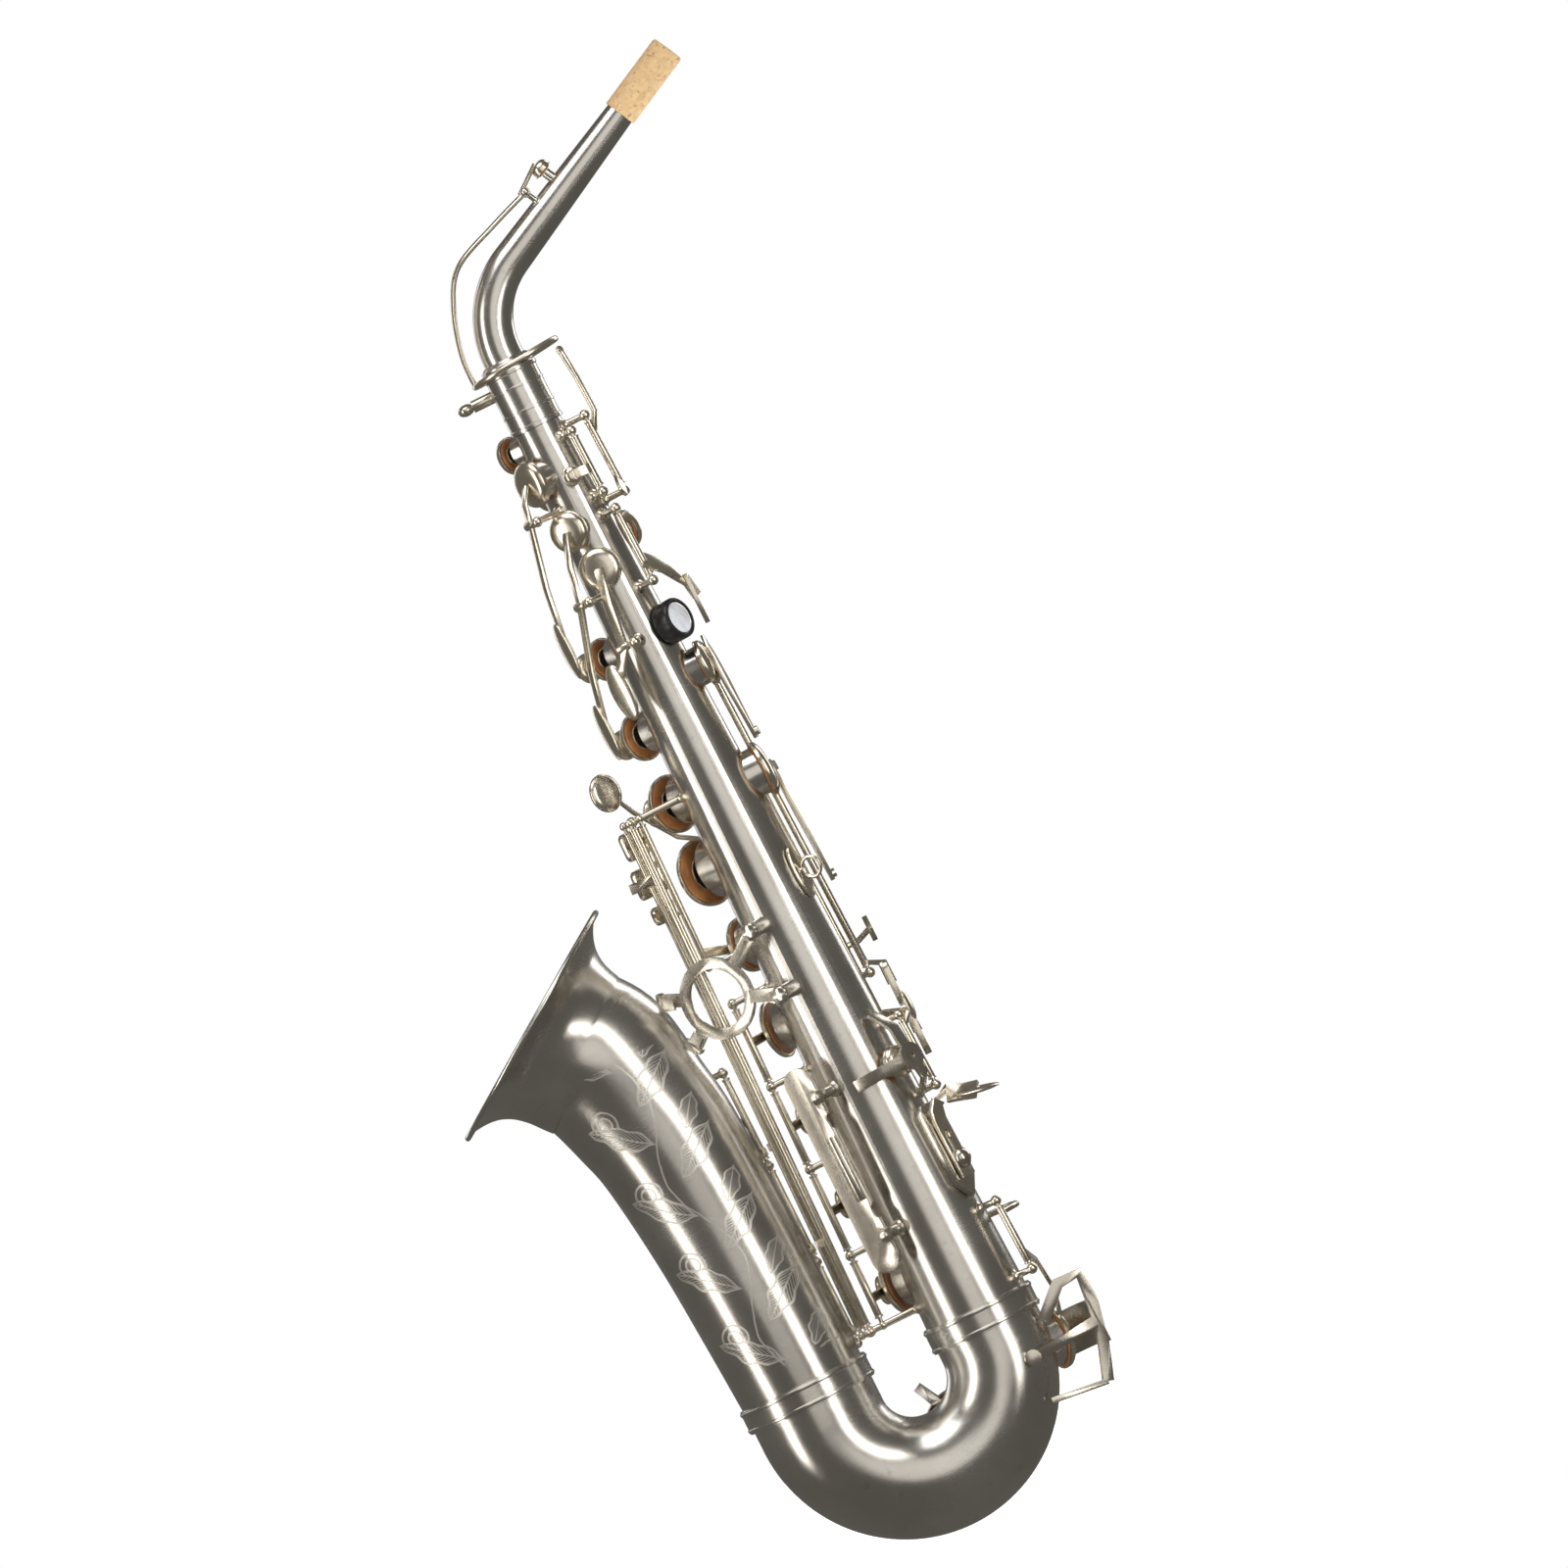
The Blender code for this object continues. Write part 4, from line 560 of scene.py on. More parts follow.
def bowHub():
    return Vector((-bowShape["bend"], 0.0, tube["bottom"] - bowShape["straight"]))


def bowAt(turn):
    angle = math.radians(turn)
    centre = bowHub() + (axisX * math.cos(angle) - axisZ * math.sin(angle)) * bowShape["bend"]
    share = turn / 180.0
    return centre, bowShape["startRadius"] + (bowShape["endRadius"] - bowShape["startRadius"]) * share


def lowCHole():
    centre, radius = bowAt(62.0)
    normal = (axisY * 0.92 + (bowHub() - centre).normalized() * 0.38).normalized()
    return centre + normal * radius, normal, 17.5


def lowEFlatHole():
    centre, radius = bowAt(12.0)
    normal = Vector((0.9, 0.42, -0.12)).normalized()
    return centre + normal * radius, normal, 14.5


def neckPath(steps):
    bend = Vector((44.6, 0.0, 283.0))
    sweep = math.radians(63.0)
    points = [bend + (axisZ * math.sin(sweep * i / steps) - axisX * math.cos(sweep * i / steps)) * 44.6
              for i in range(steps + 1)]
    return points, Vector((math.cos(math.radians(27.0)), 0.0, math.sin(math.radians(27.0))))


def neckPip():
    points, along = neckPath(7)
    normal = Vector((-along.z, 0.0, along.x))
    return points[-1] + along * 44.0 + normal * 8.6, normal


def palmPivot(name):
    angle, z, _ = palmHinges[name]
    return level(angle) * 30.0 + axisZ * z


saddle = Vector((45.0, 0.0, 349.0))


def rodPoint(name, z):
    angle, out, _, _ = tubeRods[name]
    return onTube(angle, z, out)


# every cup: centre on the surface, normal, radius, a point on its hinge, the hinge and how far it stands open

def allCups():
    front, cups = sides["front"], {}
    for keys, rodAt in ((upperStack, stackRods["upper"]), (lowerStack, stackRods["lower"])):
        for name, (z, radius, _, low) in keys.items():
            place = (onTube(front, z), awayFromTube(front), radius)
            cups[name] = (*place, onTube(front, low, *rodAt), upTube(front), opened["stack"])
    z, radius = gSharpHole
    hinge = onTube(front, tableEnds["gSharp"], *tableLevers["G_sharp_key"])
    cups["G_sharp_key"] = (onTube(front, z), awayFromTube(front), radius, hinge, upTube(front), 0.0)
    for name, (angle, z, radius) in palmHoles.items():
        across = level(palmHinges[name][0] + 90.0)
        cups[name] = (onTube(angle, z), awayFromTube(angle), radius, palmPivot(name), across, 0.0)
    for name, (angle, z, radius) in tubeHoles.items():
        low, high = rodPoint(name, tubeRods[name][2]), rodPoint(name, tubeRods[name][3])
        rise = opened["stack"] if name == "high_vent_key" else 0.0
        cups[name] = (onTube(angle, z), awayFromTube(angle), radius, low, (high - low).normalized(), rise)
    for name, hole in (("low_C_key", lowCHole()), ("low_E_flat_key", lowEFlatHole())):
        low, high = rodPoint(name, tubeRods[name][2]), rodPoint(name, tubeRods[name][3])
        rise = opened["low C"] if name == "low_C_key" else 0.0
        cups[name] = (*hole, low, (high - low).normalized(), rise)
    for name, (z, radius, angle, low, _) in bellKeys.items():
        cups[name] = (*onBell(z, angle), radius, bellRod(low), axisZ, opened["bell"])
    pip, normal = neckPip()
    cups["neck_octave_key"] = (pip, normal, 4.8, saddle, -axisY, 0.0)
    return cups


cups = allCups()


def standOpen(name):
    centre, normal, _, hinge, axis, rise = cups[name]
    if axis.cross(centre - hinge).dot(normal) < 0:
        axis = -axis
    turn = Matrix.Rotation(math.radians(rise), 4, axis)
    return Matrix.Translation(hinge) @ turn @ Matrix.Translation(-hinge)


# tubes

def peg(centre, normal, down, up, radius, corners=48):
    return cylinder(centre - normal * down, centre + normal * up, radius, corners)


def onTubeHoles():
    names = [*upperStack, *lowerStack, "G_sharp_key", *palmHoles, *tubeHoles]
    return [cups[name][:3] for name in names]


braceStuds = {"heights": (-18.4, -51.9), "reach": (-0.4, 9.7), "radius": 4.1}


def makeBodyTube():
    low, high = tube["bottom"], tube["top"]
    outer = pipe([axisZ * low, axisZ * high], [tubeRadius(low), tubeRadius(high)], 22)
    inner = pipe([axisZ * (low - 5), axisZ * (high + 5)],
                 [tubeRadius(low - 5) - tube["wall"], tubeRadius(high + 5) - tube["wall"]], 22)
    for centre, normal, radius in onTubeHoles():
        here, wide = tubeRadius(centre.z), radius - chimney["margin"]
        depth = here - math.sqrt(max(here**2 - wide**2, 1.0)) + 1.2
        combine(outer, [peg(centre, normal, depth, chimney["height"], wide)], "UNION")
    combine(outer, [inner], "DIFFERENCE")
    for centre, normal, radius in onTubeHoles():
        inside = radius - chimney["margin"] - chimney["wall"]
        combine(outer, [peg(centre, normal, 9.0, chimney["through"], inside)], "DIFFERENCE")
    for z in braceStuds["heights"]:
        low, high = (onTube(sides["brace"], z, out) for out in braceStuds["reach"])
        combine(outer, [cylinder(low, high, braceStuds["radius"], 40)], "UNION")
    return finish("body_tube_skin", outer, "body", satin, stands=["body_tube"])


def makeBow():
    turns = [3.0 * i for i in range(61)]
    start = axisZ * (tube["bottom"] - bowShape["gap"])
    end = start - axisX * 2 * bowShape["bend"]
    points = [start] + [bowAt(t)[0] for t in turns] + [end]
    radii = [bowShape["startRadius"]] + [bowAt(t)[1] for t in turns] + [bowShape["endRadius"]]
    outer = pipe(points, radii, 22)
    inner = pipe([start + axisZ * 2, *points[1:-1], end + axisZ * 2], [r - tube["wall"] for r in radii], 22)
    for centre, normal, radius in (lowCHole(), lowEFlatHole()):
        wide = radius - chimney["margin"]
        combine(outer, [peg(centre, normal, 9.0, chimney["height"], wide, 64)], "UNION")
    combine(outer, [inner], "DIFFERENCE")
    for centre, normal, radius in (lowCHole(), lowEFlatHole()):
        inside = radius - chimney["margin"] - chimney["wall"]
        combine(outer, [peg(centre, normal, 13.0, chimney["through"], inside, 64)], "DIFFERENCE")
    return finish("bow_skin", outer, "body", satin, stands=["bow"])


def makeBell():
    stops = smoothPath(bellStops(), 8)
    points = [Vector((stop.x, 0.0, stop.y)) for stop in stops]
    radii = [stop.z for stop in stops]
    outer = pipe(points, radii, 34)
    top = points[-1] + rimAxis() * 3.0
    inner = pipe([points[0] - axisZ * 2, *points[1:-1], top], [r - tube["wall"] for r in radii], 34)
    holes = [(*onBell(z, angle), radius) for z, radius, angle, _, _ in bellKeys.values()]
    for centre, normal, radius in holes:
        wide = radius - chimney["margin"]
        combine(outer, [peg(centre, normal, 8.0, chimney["height"], wide, 64)], "UNION")
    combine(outer, [inner], "DIFFERENCE")
    for centre, normal, radius in holes:
        inside = radius - chimney["margin"] - chimney["wall"]
        combine(outer, [peg(centre, normal, 16.0, chimney["through"], inside, 64)], "DIFFERENCE")
    thick, around = bellShape["bead"], [math.tau * i / 16 for i in range(16)]
    bead = [(bellShape["rim"] + thick * math.cos(t), thick * math.sin(t)) for t in around]
    rim = turned(bead, 144)
    rim.data.transform(aim(points[-1] - rimAxis() * 0.4, rimAxis()))
    finish("bell_rim_bead", rim, "body", satin, 60.0)
    return finish("bell_skin", outer, "body", satinEngraved, stands=["bell"])


neckShape = {"wide": 10.4, "slim": 7.1, "corkStart": 87.5, "length": 126.5}


def makeNeck():
    points, along = neckPath(28)
    end = points[-1]
    corkStart, tipAt = neckShape["corkStart"], neckShape["length"]
    points = [axisZ * 278.0, *points]
    points += [end + along * reach for reach in (20.0, 43.75, 65.0, corkStart, tipAt)]
    lengths = [0.0]
    for before, after in zip(points, points[1:]):
        lengths.append(lengths[-1] + (after - before).length)
    wide, slim = neckShape["wide"], neckShape["slim"]
    fall = (wide - slim) / lengths[-2]
    radii = [max(wide - fall * length, slim) for length in lengths]
    outer = pipe(points, radii, 16)
    insides = [wide - tube["wall"], *[r - tube["wall"] for r in radii]]
    inner = pipe([axisZ * 270.0, *points[:-1], points[-1] + along * 4], insides, 16)
    pip, normal = neckPip()
    combine(outer, [cylinder(pip - normal * 3, pip + normal * 3.5, 2.6, 24)], "UNION")
    combine(outer, [inner, cylinder(pip - normal * 8, pip + normal * 6, 1.3, 20)], "DIFFERENCE")
    collar = turned([(9.8, 249.0), (11.2, 249.0), (11.2, 276.3), (13.0, 276.3), (13.3, 276.7), (13.3, 279.0),
                     (12.9, 279.5), (12.1, 279.9), (11.4, 280.8), (10.5, 281.2), (9.8, 280.0)], 72)
    shapes = [outer, soften(collar, 0.15)]
    for side in (-6.0, 6.0):
        shapes += [standing(saddle + axisY * side, saddle + axisY * side * 0.5 - normal * 8.0, 0.85)]
    piece = finish("neck_skin", join(shapes), "neck", satin, stands=["neck_tube"])
    profile = [(7.3, 0.0), (8.1, 0.0), (8.3, 0.3), (8.3, 37.8), (7.9, 38.7), (7.3, 39.0)]
    sleeve = turned(profile, 64)
    sleeve.data.transform(aim(end + along * (corkStart + 0.5), along))
    finish("neck_cork_sleeve", sleeve, "neck", cork, stands=["neck_cork"])
    return piece


def makeReceiver():
    profile = [(11.5, 245.3), (13.6, 245.3), (13.6, 247.2), (13.2, 247.6), (13.1, 254.0), (13.45, 254.3),
               (13.45, 255.1), (13.1, 255.4), (13.1, 266.0), (13.45, 266.3), (13.45, 267.1), (13.1, 267.4),
               (13.1, 273.4), (13.7, 274.0), (13.7, 275.6), (13.4, 276.0), (11.5, 276.0)]
    shell = turned(profile, 96)
    for x in (-9.0, -1.0):
        lug = cylinder(Vector((x - 2.2, 15.6, 268.0)), Vector((x + 2.2, 15.6, 268.0)), 4.6, 40)
        combine(shell, [soften(lug, 0.4)], "UNION")
    core = cylinder(axisZ * 240.0, axisZ * 280.0, 11.5, 96)
    hole = cylinder(Vector((-20.0, 17.8, 268.0)), Vector((12.0, 17.8, 268.0)), 2.0)
    bpy.ops.object.select_all(action="DESELECT")
    bpy.ops.mesh.primitive_cube_add(size=1.0, location=(-5.0, 16.0, 268.0), scale=(2.4, 14.0, 24.0))
    slit = bake(bpy.context.object)
    combine(shell, [core, hole, slit], "DIFFERENCE")
    return finish("neck_receiver_skin", shell, "body", satin, stands=["neck_receiver"])


def makeFerrule(name, stands, centre, low, high, radius):
    r = radius
    profile = [(r + 0.6, low), (r + 1.5, low), (r + 1.7, low + 0.2)]
    for middle in (low + 1.7, high - 1.7):  # two raised rings
        profile += [(r + 1.7, middle - 1.0), (r + 2.15, middle - 0.7), (r + 2.3, middle),
                    (r + 2.15, middle + 0.7), (r + 1.7, middle + 1.0)]
    profile += [(r + 1.7, high - 0.2), (r + 1.5, high), (r + 0.6, high)]
    shell = turned(profile, 120)
    shell.data.transform(Matrix.Translation(centre))
    return finish(name, shell, "body", satin, 40.0, stands=[stands])


# posts

post = {"ball": 2.6, "shaft": 1.7, "foot": 3.4}


def standing(tip, foot, size=1.0):  # a turned post: flared foot, shaft and ball
    length = (tip - foot).length
    r, b, f = post["shaft"] * size, post["ball"] * size, post["foot"] * size
    profile = [(0.0, 0.0), (f, 0.0), (f, 0.5), (r + 0.8, 1.1), (r + 0.2, 2.0), (r, 3.0),
               (r * 0.9, max(length - b * 1.1, 3.2))]
    turns = [math.radians(degrees) for degrees in range(-52, 90, 12)]
    reach = [(b * math.cos(t), length + b * math.sin(t)) for t in turns]
    shape = turned(profile + reach + [(0.0, length + b)], 28)
    shape.data.transform(aim(foot, tip - foot))
    return shape


def makePosts():
    front = sides["front"]
    tips = [onTube(front, z, *stackRods["upper"]) for z in (148.0, 110.0, 72.0, 36.0, -2.0)]
    tips += [onTube(front, z, *stackRods["lower"]) for z in (-46.0, -90.0, -134.0, -180.0)]
    for name, (angle, out, low, high) in tubeRods.items():
        tips += [onTube(angle, low, out), onTube(angle, high, out)]
    for name in palmHinges:
        tips.append(palmPivot(name) + level(palmHinges[name][0] + 90.0) * 6.4)
    made = []
    for tip in tips:
        foot = Vector((tip.x, tip.y, 0.0)).normalized() * (tubeRadius(tip.z) - 0.5) + axisZ * tip.z
        made.append(standing(tip, foot))
    for z in (tableEnds["top"], tableEnds["bottom"]):
        made += tableComb(z)
    foot = onTube(front, tableEnds["gSharp"], -0.7, 12.0)
    made.append(standing(onTube(front, tableEnds["gSharp"], *tableLevers["G_sharp_key"]), foot, 0.8))
    finish("body_posts", join(made), "body", keywork, 40.0)
    made = []
    for z in bellPosts:
        tip, (centre, radius) = bellRod(z), bellAt(z)
        made.append(standing(tip, centre + (tip - centre).normalized() * (radius - 0.4)))
    finish("bell_posts", join(made), "body", keywork, 40.0)


def tableComb(z):
    front = sides["front"]
    places = [at for name, at in tableLevers.items() if z == tableEnds["top"] or name != "G_sharp_key"]
    if z == tableEnds["bottom"]:
        places.append(stackRods["lower"])
    middle = onTube(front, z, *tableLevers["C_sharp_lever"])
    foot = Vector((middle.x, middle.y, 0.0)).normalized() * (tubeRadius(z) - 0.7) + axisZ * z
    parts = [standing(middle, foot, 1.05)]
    for place in places:
        tip = onTube(front, z, *place)
        bpy.ops.object.select_all(action="DESELECT")
        bpy.ops.mesh.primitive_uv_sphere_add(segments=24, ring_count=12, radius=2.1, location=tip)
        parts.append(bake(bpy.context.object))
        if (tip - middle).length > 0.1:
            parts.append(cylinder(middle, tip, 1.5, 20))
    return parts


# cups, pads and resonators

padLook = {"margin": 0.9, "resonator": 0.56, "smallest": 8.5}  # pads smaller than the last have no resonator


def cupShape(radius):
    r = radius * 1.012
    profile = [(0.0, 9.56), (0.42 * r, 9.42), (0.68 * r, 9.0), (0.84 * r, 8.35), (0.94 * r, 7.5),
               (0.985 * r, 6.8), (r, 6.2), (r, 5.2), (r + 0.22, 5.0), (r + 0.22, 4.62), (r - 0.1, 4.5),
               (r - 0.66, 4.5), (r - 0.66, 6.45), (0.0, 6.45)]
    return turned(profile, 64)


def padShape(radius):
    edge = radius - padLook["margin"]
    profile = [(0.0, 6.2), (edge, 6.2), (edge, 4.7), (edge - 0.15, 4.2), (edge - 0.5, 3.9), (edge - 1.0, 3.8),
               (0.0, 3.8)]
    return turned(profile, 64)


def resonatorShape(radius):
    r = radius * padLook["resonator"]
    profile = [(0.0, 4.0), (r, 4.0), (r, 3.72), (r - 0.3, 3.45), (r - 0.9, 3.42), (r * 0.72, 3.62),
               (r * 0.4, 3.66), (0.22 * r, 3.6), (0.16 * r, 3.3), (0.0, 3.22)]
    return turned(profile, 48)


def makeCups():
    padNodes = {name for name in frame["nodes"] if name.endswith("_pad")}
    for name, (centre, normal, radius, _, _, _) in cups.items():
        place = standOpen(name) @ aim(centre, normal)
        short = name.replace("_key", "")
        body = bodyOf(name)
        cup = cupShape(radius)
        cup.data.transform(place)
        finish(short + "_cup", cup, body, keywork, 32.0)
        pad = padShape(radius)
        pad.data.transform(place)
        stands = [short + "_pad"] if short + "_pad" in padNodes else []
        finish(short + "_leather", pad, body, padLeather, 40.0, stands=stands)
        if radius > padLook["smallest"]:
            disc = resonatorShape(radius)
            disc.data.transform(place)
            finish(short + "_resonator", disc, body, keywork, 40.0)


def bodyOf(node):
    return frame["nodes"][node]["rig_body"]


# hinge tubes, with the steel rod through them and a collar at each end

hinge = {"radius": 1.78, "slim": 1.56, "rod": 1.0}


def hingeTube(low, high, radius):
    run = (high - low).normalized()
    shapes = [soften(cylinder(low + run * 3.1, high - run * 3.1, radius, 28), 0.2)]
    for place in (low + run * 3.6, high - run * 3.6):
        shapes.append(soften(cylinder(place - run * 0.5, place + run * 0.5, radius + 0.35, 28), 0.15))
    return shapes


def makeHinges():
    front, tubes = sides["front"], []
    for keys, at in ((upperStack, stackRods["upper"]), (lowerStack, stackRods["lower"])):
        for name, (_, _, high, low) in keys.items():
            made = name.replace("key", "hinge_tube")
            tubes.append((name, made, onTube(front, low, *at), onTube(front, high, *at), hinge["radius"]))
    for name, (angle, out, low, high) in tubeRods.items():
        made = name + "_hinge_tube"
        tubes.append((name, made, onTube(angle, low, out), onTube(angle, high, out), hinge["radius"]))
    for name, at in tableLevers.items():
        low = tableEnds["gSharp"] if name == "G_sharp_key" else tableEnds["bottom"]
        ends = onTube(front, low, *at), onTube(front, tableEnds["top"], *at)
        tubes.append((name, name + "_hinge_tube", *ends, hinge["slim"]))
    for name, (_, _, _, low, high) in bellKeys.items():
        tubes.append((name, name + "_hinge_tube", bellRod(low), bellRod(high), hinge["radius"]))
    for name, made, low, high, radius in tubes:
        shape = join(hingeTube(low, high, radius))
        finish(made, shape, bodyOf(name), keywork)
    steel = [cylinder(low, high, hinge["rod"], 16) for _, _, low, high, _ in tubes]
    finish("hinge_rods", join(steel), "body", screwSteel)


# touches

def domeTouch(centre, facing, length, width, thickness):
    bpy.ops.object.select_all(action="DESELECT")
    bpy.ops.mesh.primitive_uv_sphere_add(segments=48, ring_count=24, radius=0.505)
    shape = bpy.context.object
    side = axisZ.cross(facing).normalized()
    turn = Matrix((axisZ, side, facing.normalized())).transposed().to_4x4()
    shape.data.transform(Matrix.Translation(centre) @ turn @ Matrix.Diagonal((length, width, thickness, 1.0)))
    return shape


def pearlSet(centre, normal, radius):  # a round holder with its pearl
    place = aim(centre, normal)
    r = radius
    holder = turned([(0.0, 1.0), (r * 0.80, 1.0), (r * 0.84, 1.75), (r * 0.94, 2.0), (r * 1.02, 1.7),
                     (r * 1.04, 0.6), (r * 1.0, -0.2), (r * 0.72, -1.3), (0.0, -1.5)], 48)
    holder.data.transform(place)
    dome = turned([(0.0, 1.05), (r * 0.79, 1.05), (r * 0.79, 1.6), (r * 0.66, 2.05), (r * 0.35, 2.4),
                   (0.0, 2.5)], 48)
    dome.data.transform(place)
    return holder, dome


def makeTouches():
    front = sides["front"]
    for name, (_, _, touch) in palmHinges.items():
        facing = Vector((touch.x, touch.y, 0.0)).normalized()
        finish(name.replace("key", "touch"), domeTouch(touch, facing, 29.0, 13.0, 3.6), bodyOf(name), keywork,
               60.0)
    touch = onTube(-11.0, -84.0, 14.4)
    finish("F_sharp_trill_touch", domeTouch(touch, awayFromTube(-16.0), 15.0, 8.0, 3.0),
           bodyOf("F_sharp_trill_key"), keywork, 60.0)
    for keys, at in ((upperStack, stackRods["upper"]), (lowerStack, stackRods["lower"])):
        for name, (z, _, _, _) in keys.items():
            if name in ("G_key", "F_sharp_key"):
                continue
            spot = onTube(front, z, 13.7, math.copysign(4.0, -at[1]))
            addPearl(name, spot, 7.2)
    addPearl("G_key", onTube(front, 72.0, 10.0, 32.0), 9.2)


def addPearl(name, spot, radius):
    place = standOpen(name)
    shapes = pearlSet(spot, awayFromTube(sides["front"]), radius)
    looks = ("touch", keywork, "keywork_silver"), ("pearl", pearl, "pearl")
    for shape, (part, look, slot) in zip(shapes, looks):
        shape.data.transform(place)
        finish(name.replace("key", part), shape, bodyOf(name), look, 45.0)


def makeThumbRest():
    centre, normal = onTube(sides["back"], 132.0), awayFromTube(sides["back"])
    base = turned([(0.0, 0.3), (10.0, 0.3), (10.4, 0.9), (10.4, 8.6), (10.2, 9.2), (9.8, 9.6), (8.7, 9.7),
                   (8.2, 9.4), (8.2, 8.0), (0.0, 8.0)], 72)
    base.data.transform(aim(centre, normal))
    finish("thumb_rest_base", base, "body", blackPlastic, 35.0, stands=["thumb_rest"])
    dome = turned([(0.0, 8.3), (7.9, 8.3), (7.9, 9.3), (7.4, 9.75), (6.0, 10.05), (3.4, 10.3),
                   (0.0, 10.4)], 72)
    dome.data.transform(aim(centre, normal))
    finish("thumb_rest_dome", dome, "body", pearl, 35.0, stands=["thumb_rest_pearl"])


# the brace's two feet, where its arms are soldered to the bell

braceFeet = {"ring": Vector((-45.1, -10.3, -40.2)), "heights": (-30.0, -56.0), "length": 8.0, "width": 6.5,
             "thickness": 1.7, "sink": 0.4, "pad": (2.2, 4.4, 11.0), "gap": 2.6, "start": 18.0}


def makeBraceFeet():
    facing, away = level(sides["brace"]), level(sides["brace"] - 90.0)
    bell = bpy.data.objects["bell_skin"]
    for part, height in zip(("upper", "lower"), braceFeet["heights"]):
        tip = Vector((*braceFeet["ring"].xy, height)) + away * braceFeet["start"]
        wall, gap = tip, math.inf
        while gap > braceFeet["gap"]:  # to where the arm stops, then on to the wall
            tip = tip + away * 0.1
            wall = intoFrame.inverted() @ bell.closest_point_on_mesh(intoFrame @ tip)[1]
            gap = (wall - tip).length
        tip += (wall - tip).normalized() * (gap + braceFeet["sink"])
        along = (tip - braceFeet["ring"]).normalized()
        turn = Matrix((along, facing, along.cross(facing))).transposed().to_4x4()
        shapes = []
        for length, thickness, width in (
            (braceFeet["length"], braceFeet["thickness"], braceFeet["width"]), braceFeet["pad"],
        ):
            bpy.ops.object.select_all(action="DESELECT")
            bpy.ops.mesh.primitive_cube_add(size=1.0)
            bar = bpy.context.object
            bar.data.transform(Matrix.Diagonal((length, thickness, width, 1.0)))
            bar.data.transform(Matrix.Translation(tip - along * length * 0.5) @ turn)
            shapes.append(bar)
        foot = soften(combine(shapes[0], shapes[1:], "UNION"), 0.5, 3)
        finish("brace_foot_" + part, foot, "body", sheetSilver, 40.0)


# the neck's octave key: a long arm over the neck, and a loop round the neck's foot for the rocker's pin

neckKey = {"arm": 1.3, "armWide": 2.4, "loop": 1.55, "front": 1.1, "frontWide": 2.2,
           "tube": 2.5, "tubeHalf": 3.0,
           "run": ((-18.3, 0.0, 275.6), (-17.5, 0.0, 292.0), (-11.0, 0.0, 314.0), (0.0, 0.0, 331.0),
                   (24.0, 0.0, 341.5))}


def makeNeckKey():
    loopStops = [Vector((4.0 - 22.5 * math.cos(t), 18.5 * math.sin(t), 277.5 - 2.0 * math.cos(t)))
                 for t in (math.tau * i / 64 for i in range(64))]
    key = pipe(loopStops, [neckKey["loop"]] * 64, closed=True)
    armStops = smoothPath([Vector(stop) for stop in neckKey["run"]] + [saddle], 8)
    arm = pipe(armStops, [neckKey["arm"]] * len(armStops))
    arm.data.transform(Matrix.Diagonal((1.0, neckKey["armWide"], 1.0, 1.0)))
    pip, normal = neckPip()
    front = pipe([saddle - axisX * 3.0, pip + normal * 9.9], [neckKey["front"]] * 2)
    front.data.transform(Matrix.Diagonal((1.0, neckKey["frontWide"], 1.0, 1.0)))
    half = axisY * neckKey["tubeHalf"]
    pivot = cylinder(saddle - half, saddle + half, neckKey["tube"])
    key = combine(key, [arm, front, pivot], "UNION")
    finish("neck_octave_arm", key, bodyOf("neck_octave_key"), keywork, 40.0, stands=["neck_octave_key"])


# the rest: each CAD part merged, its edges rounded, and given its finish

nodeFinish = {"thumb_hook_plate": sheetSilver, "bell_brace": sheetSilver, "low_E_flat_guard": sheetSilver,
              "low_C_guard": sheetSilver, "bell_key_guard": sheetSilver, "trill_key_guard": sheetSilver,
              "stack_guard": sheetSilver, "brace_screw_upper": screwSteel, "brace_screw_lower": screwSteel,
              "thumb_hook_screw": screwSteel}


def makeCarriedOver():
    for name, node in frame["nodes"].items():
        if node.hide_render:
            continue
        shape = bpy.data.objects.new(name + "_shape", node.data.copy())
        bpy.context.scene.collection.objects.link(shape)
        shape.data.transform(intoFrame.inverted())
        pick(shape)
        bpy.ops.object.mode_set(mode="EDIT")
        bpy.ops.mesh.select_all(action="SELECT")
        bpy.ops.mesh.remove_doubles(threshold=0.002)
        bpy.ops.mesh.dissolve_limited(angle_limit=math.radians(1.0))
        bpy.ops.object.mode_set(mode="OBJECT")
        soften(shape, 0.28, 2, 52.0)
        finishing = nodeFinish.get(name, keywork)
        finish(name + "_shape", shape, bodyOf(name), finishing, 47.0, stands=[name])


makeBodyTube()
makeBow()
makeBell()
makeNeck()
makeReceiver()
makeFerrule("body_bow_ferrule_ring", "body_bow_ferrule", Vector(), -241.0, -228.5, bowShape["startRadius"])
makeFerrule("bell_bow_ferrule_ring", "bell_bow_ferrule", -axisX * 2 * bowShape["bend"], -236.0, -224.0, 31.65)
print("tubes made")
makePosts()
makeCups()
makeHinges()
makeTouches()
makeThumbRest()
makeBraceFeet()
makeNeckKey()
print("keys made")
makeCarriedOver()
print("other parts made")


# floor, light and camera

studio = {"floorRadius": 1.6, "distance": 8.0, "width": 0.7547, "worldLight": 0.19}


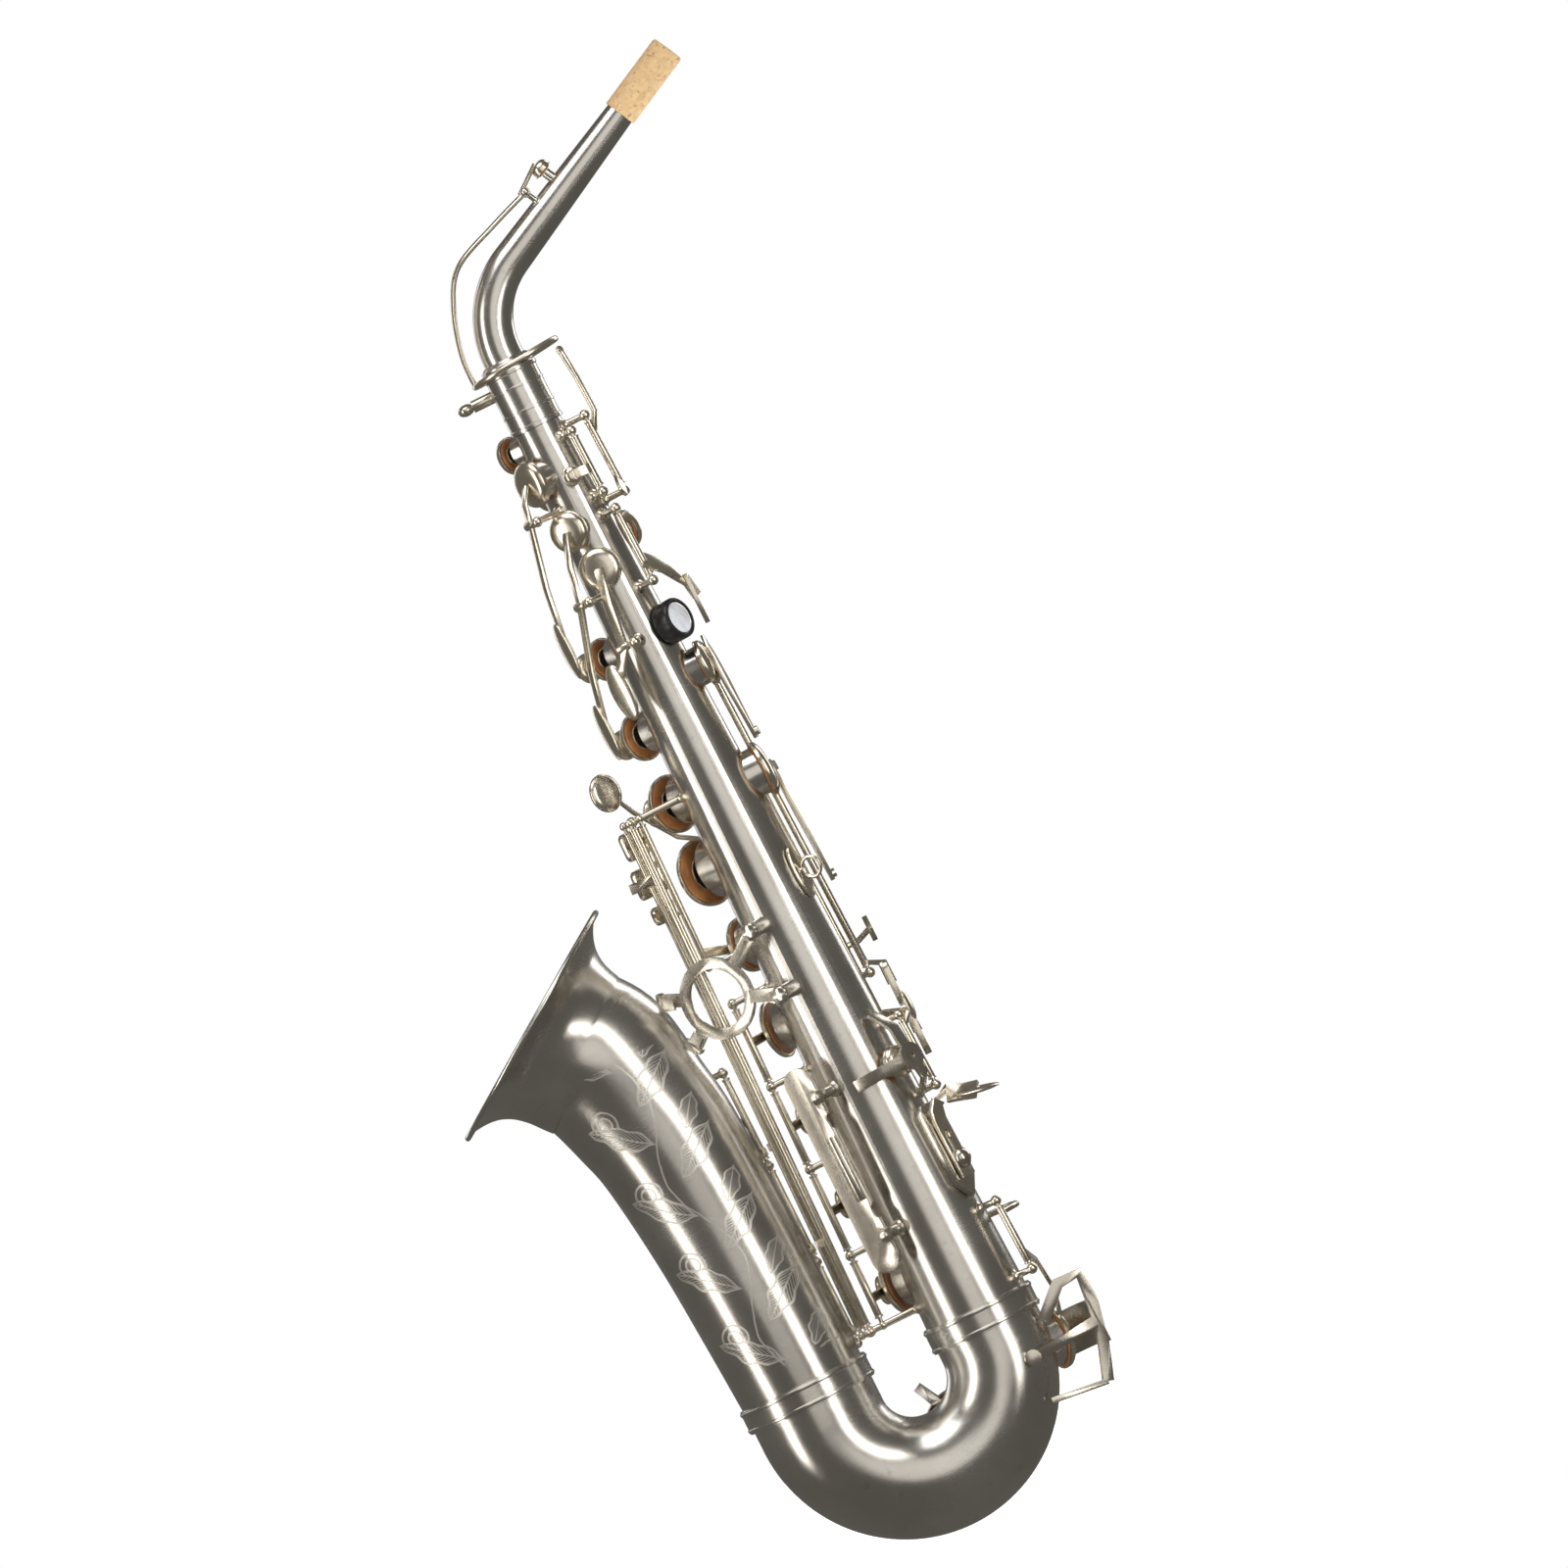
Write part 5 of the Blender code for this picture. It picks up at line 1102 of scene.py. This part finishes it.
def makeFloor():
    bpy.ops.object.select_all(action="DESELECT")
    low = cadBox[0]
    bpy.ops.mesh.primitive_circle_add(vertices=96, radius=studio["floorRadius"], fill_type="NGON",
                                      location=(-0.05, 0.0, low.z - 0.002))
    floor = bpy.context.object
    floor.name = "floor"
    sheet = Sheet("paleFloor")
    soft = sheet.noise(3.0, 2.0)
    colour = sheet.blend(soft, (0.90, 0.90, 0.90), (0.94, 0.94, 0.94))
    floor.data.materials.append(sheet.give(colour=colour, roughness=0.9))
    sheet.shader.inputs["Emission Color"].default_value = (1.0, 1.0, 1.0, 1.0)
    sheet.shader.inputs["Emission Strength"].default_value = 0.95
    floor.visible_glossy = False


def makeLight(name, azimuth, height, distance, size, power, tint):
    data = bpy.data.lights.new(name, "AREA")
    data.shape = "RECTANGLE"
    data.size, data.size_y = size
    data.energy = power
    data.color = tint
    lamp = bpy.data.objects.new(name, data)
    bpy.context.scene.collection.objects.link(lamp)
    turn = math.radians(azimuth)  # 0 is on the camera's side, growing towards +X
    spot = Vector((math.sin(turn) * distance, -math.cos(turn) * distance, height))
    towards = Vector((-0.05, 0.0, 0.0)) - spot
    lamp.matrix_world = Matrix.Translation(spot) @ towards.to_track_quat("-Z", "Y").to_matrix().to_4x4()
    lamp.visible_camera = False


def makeWorld():
    world = bpy.data.worlds.new("studio")
    bpy.context.scene.world = world
    world.use_nodes = True
    tree = world.node_tree
    tree.nodes.clear()
    out = tree.nodes.new("ShaderNodeOutputWorld")
    mix = tree.nodes.new("ShaderNodeMixShader")
    seen = tree.nodes.new("ShaderNodeLightPath")
    pale, dim = tree.nodes.new("ShaderNodeBackground"), tree.nodes.new("ShaderNodeBackground")
    pale.inputs["Color"].default_value = (1.0, 1.0, 1.0, 1.0)
    pale.inputs["Strength"].default_value = 1.0
    dim.inputs["Color"].default_value = (0.62, 0.58, 0.52, 1.0)
    dim.inputs["Strength"].default_value = studio["worldLight"]
    tree.links.new(seen.outputs["Is Camera Ray"], mix.inputs[0])
    tree.links.new(dim.outputs[0], mix.inputs[1])
    tree.links.new(pale.outputs[0], mix.inputs[2])
    tree.links.new(mix.outputs[0], out.inputs[0])


def makeCamera():
    right, up = Vector((0.895, 0.0, -0.446)), Vector((0.446, 0.0, 0.895))
    data = bpy.data.cameras.new("camera")
    data.sensor_width = 36.0
    data.lens = 36.0 * studio["distance"] / studio["width"]
    data.clip_start, data.clip_end = 0.5, 100.0
    camera = bpy.data.objects.new("camera", data)
    bpy.context.scene.collection.objects.link(camera)
    turn = Matrix((right, up, -axisY)).transposed().to_4x4()
    camera.matrix_world = Matrix.Translation((0.0059, -studio["distance"], 0.0413)) @ turn
    bpy.context.scene.camera = camera


makeFloor()
makeWorld()
makeLight("stripLeft", -62.0, 0.35, 1.9, (0.42, 2.2), 12.0, (1.0, 0.95, 0.87))
makeLight("softRight", 34.0, 0.25, 2.1, (0.50, 2.0), 12.0, (1.0, 0.96, 0.89))
makeLight("broadFront", 4.0, 0.5, 2.7, (1.5, 2.0), 7.0, (1.0, 0.96, 0.90))
makeLight("overhead", -10.0, 2.0, 0.8, (1.6, 1.2), 18.0, (1.0, 0.98, 0.96))
makeLight("backRight", 140.0, 0.6, 1.8, (0.5, 1.6), 7.0, (1.0, 0.97, 0.94))
makeLight("backLeft", -150.0, 0.6, 1.9, (0.4, 1.6), 3.0, (1.0, 0.97, 0.94))
makeCamera()
bpy.context.scene.view_settings.view_transform = "Standard"
print("studio made")
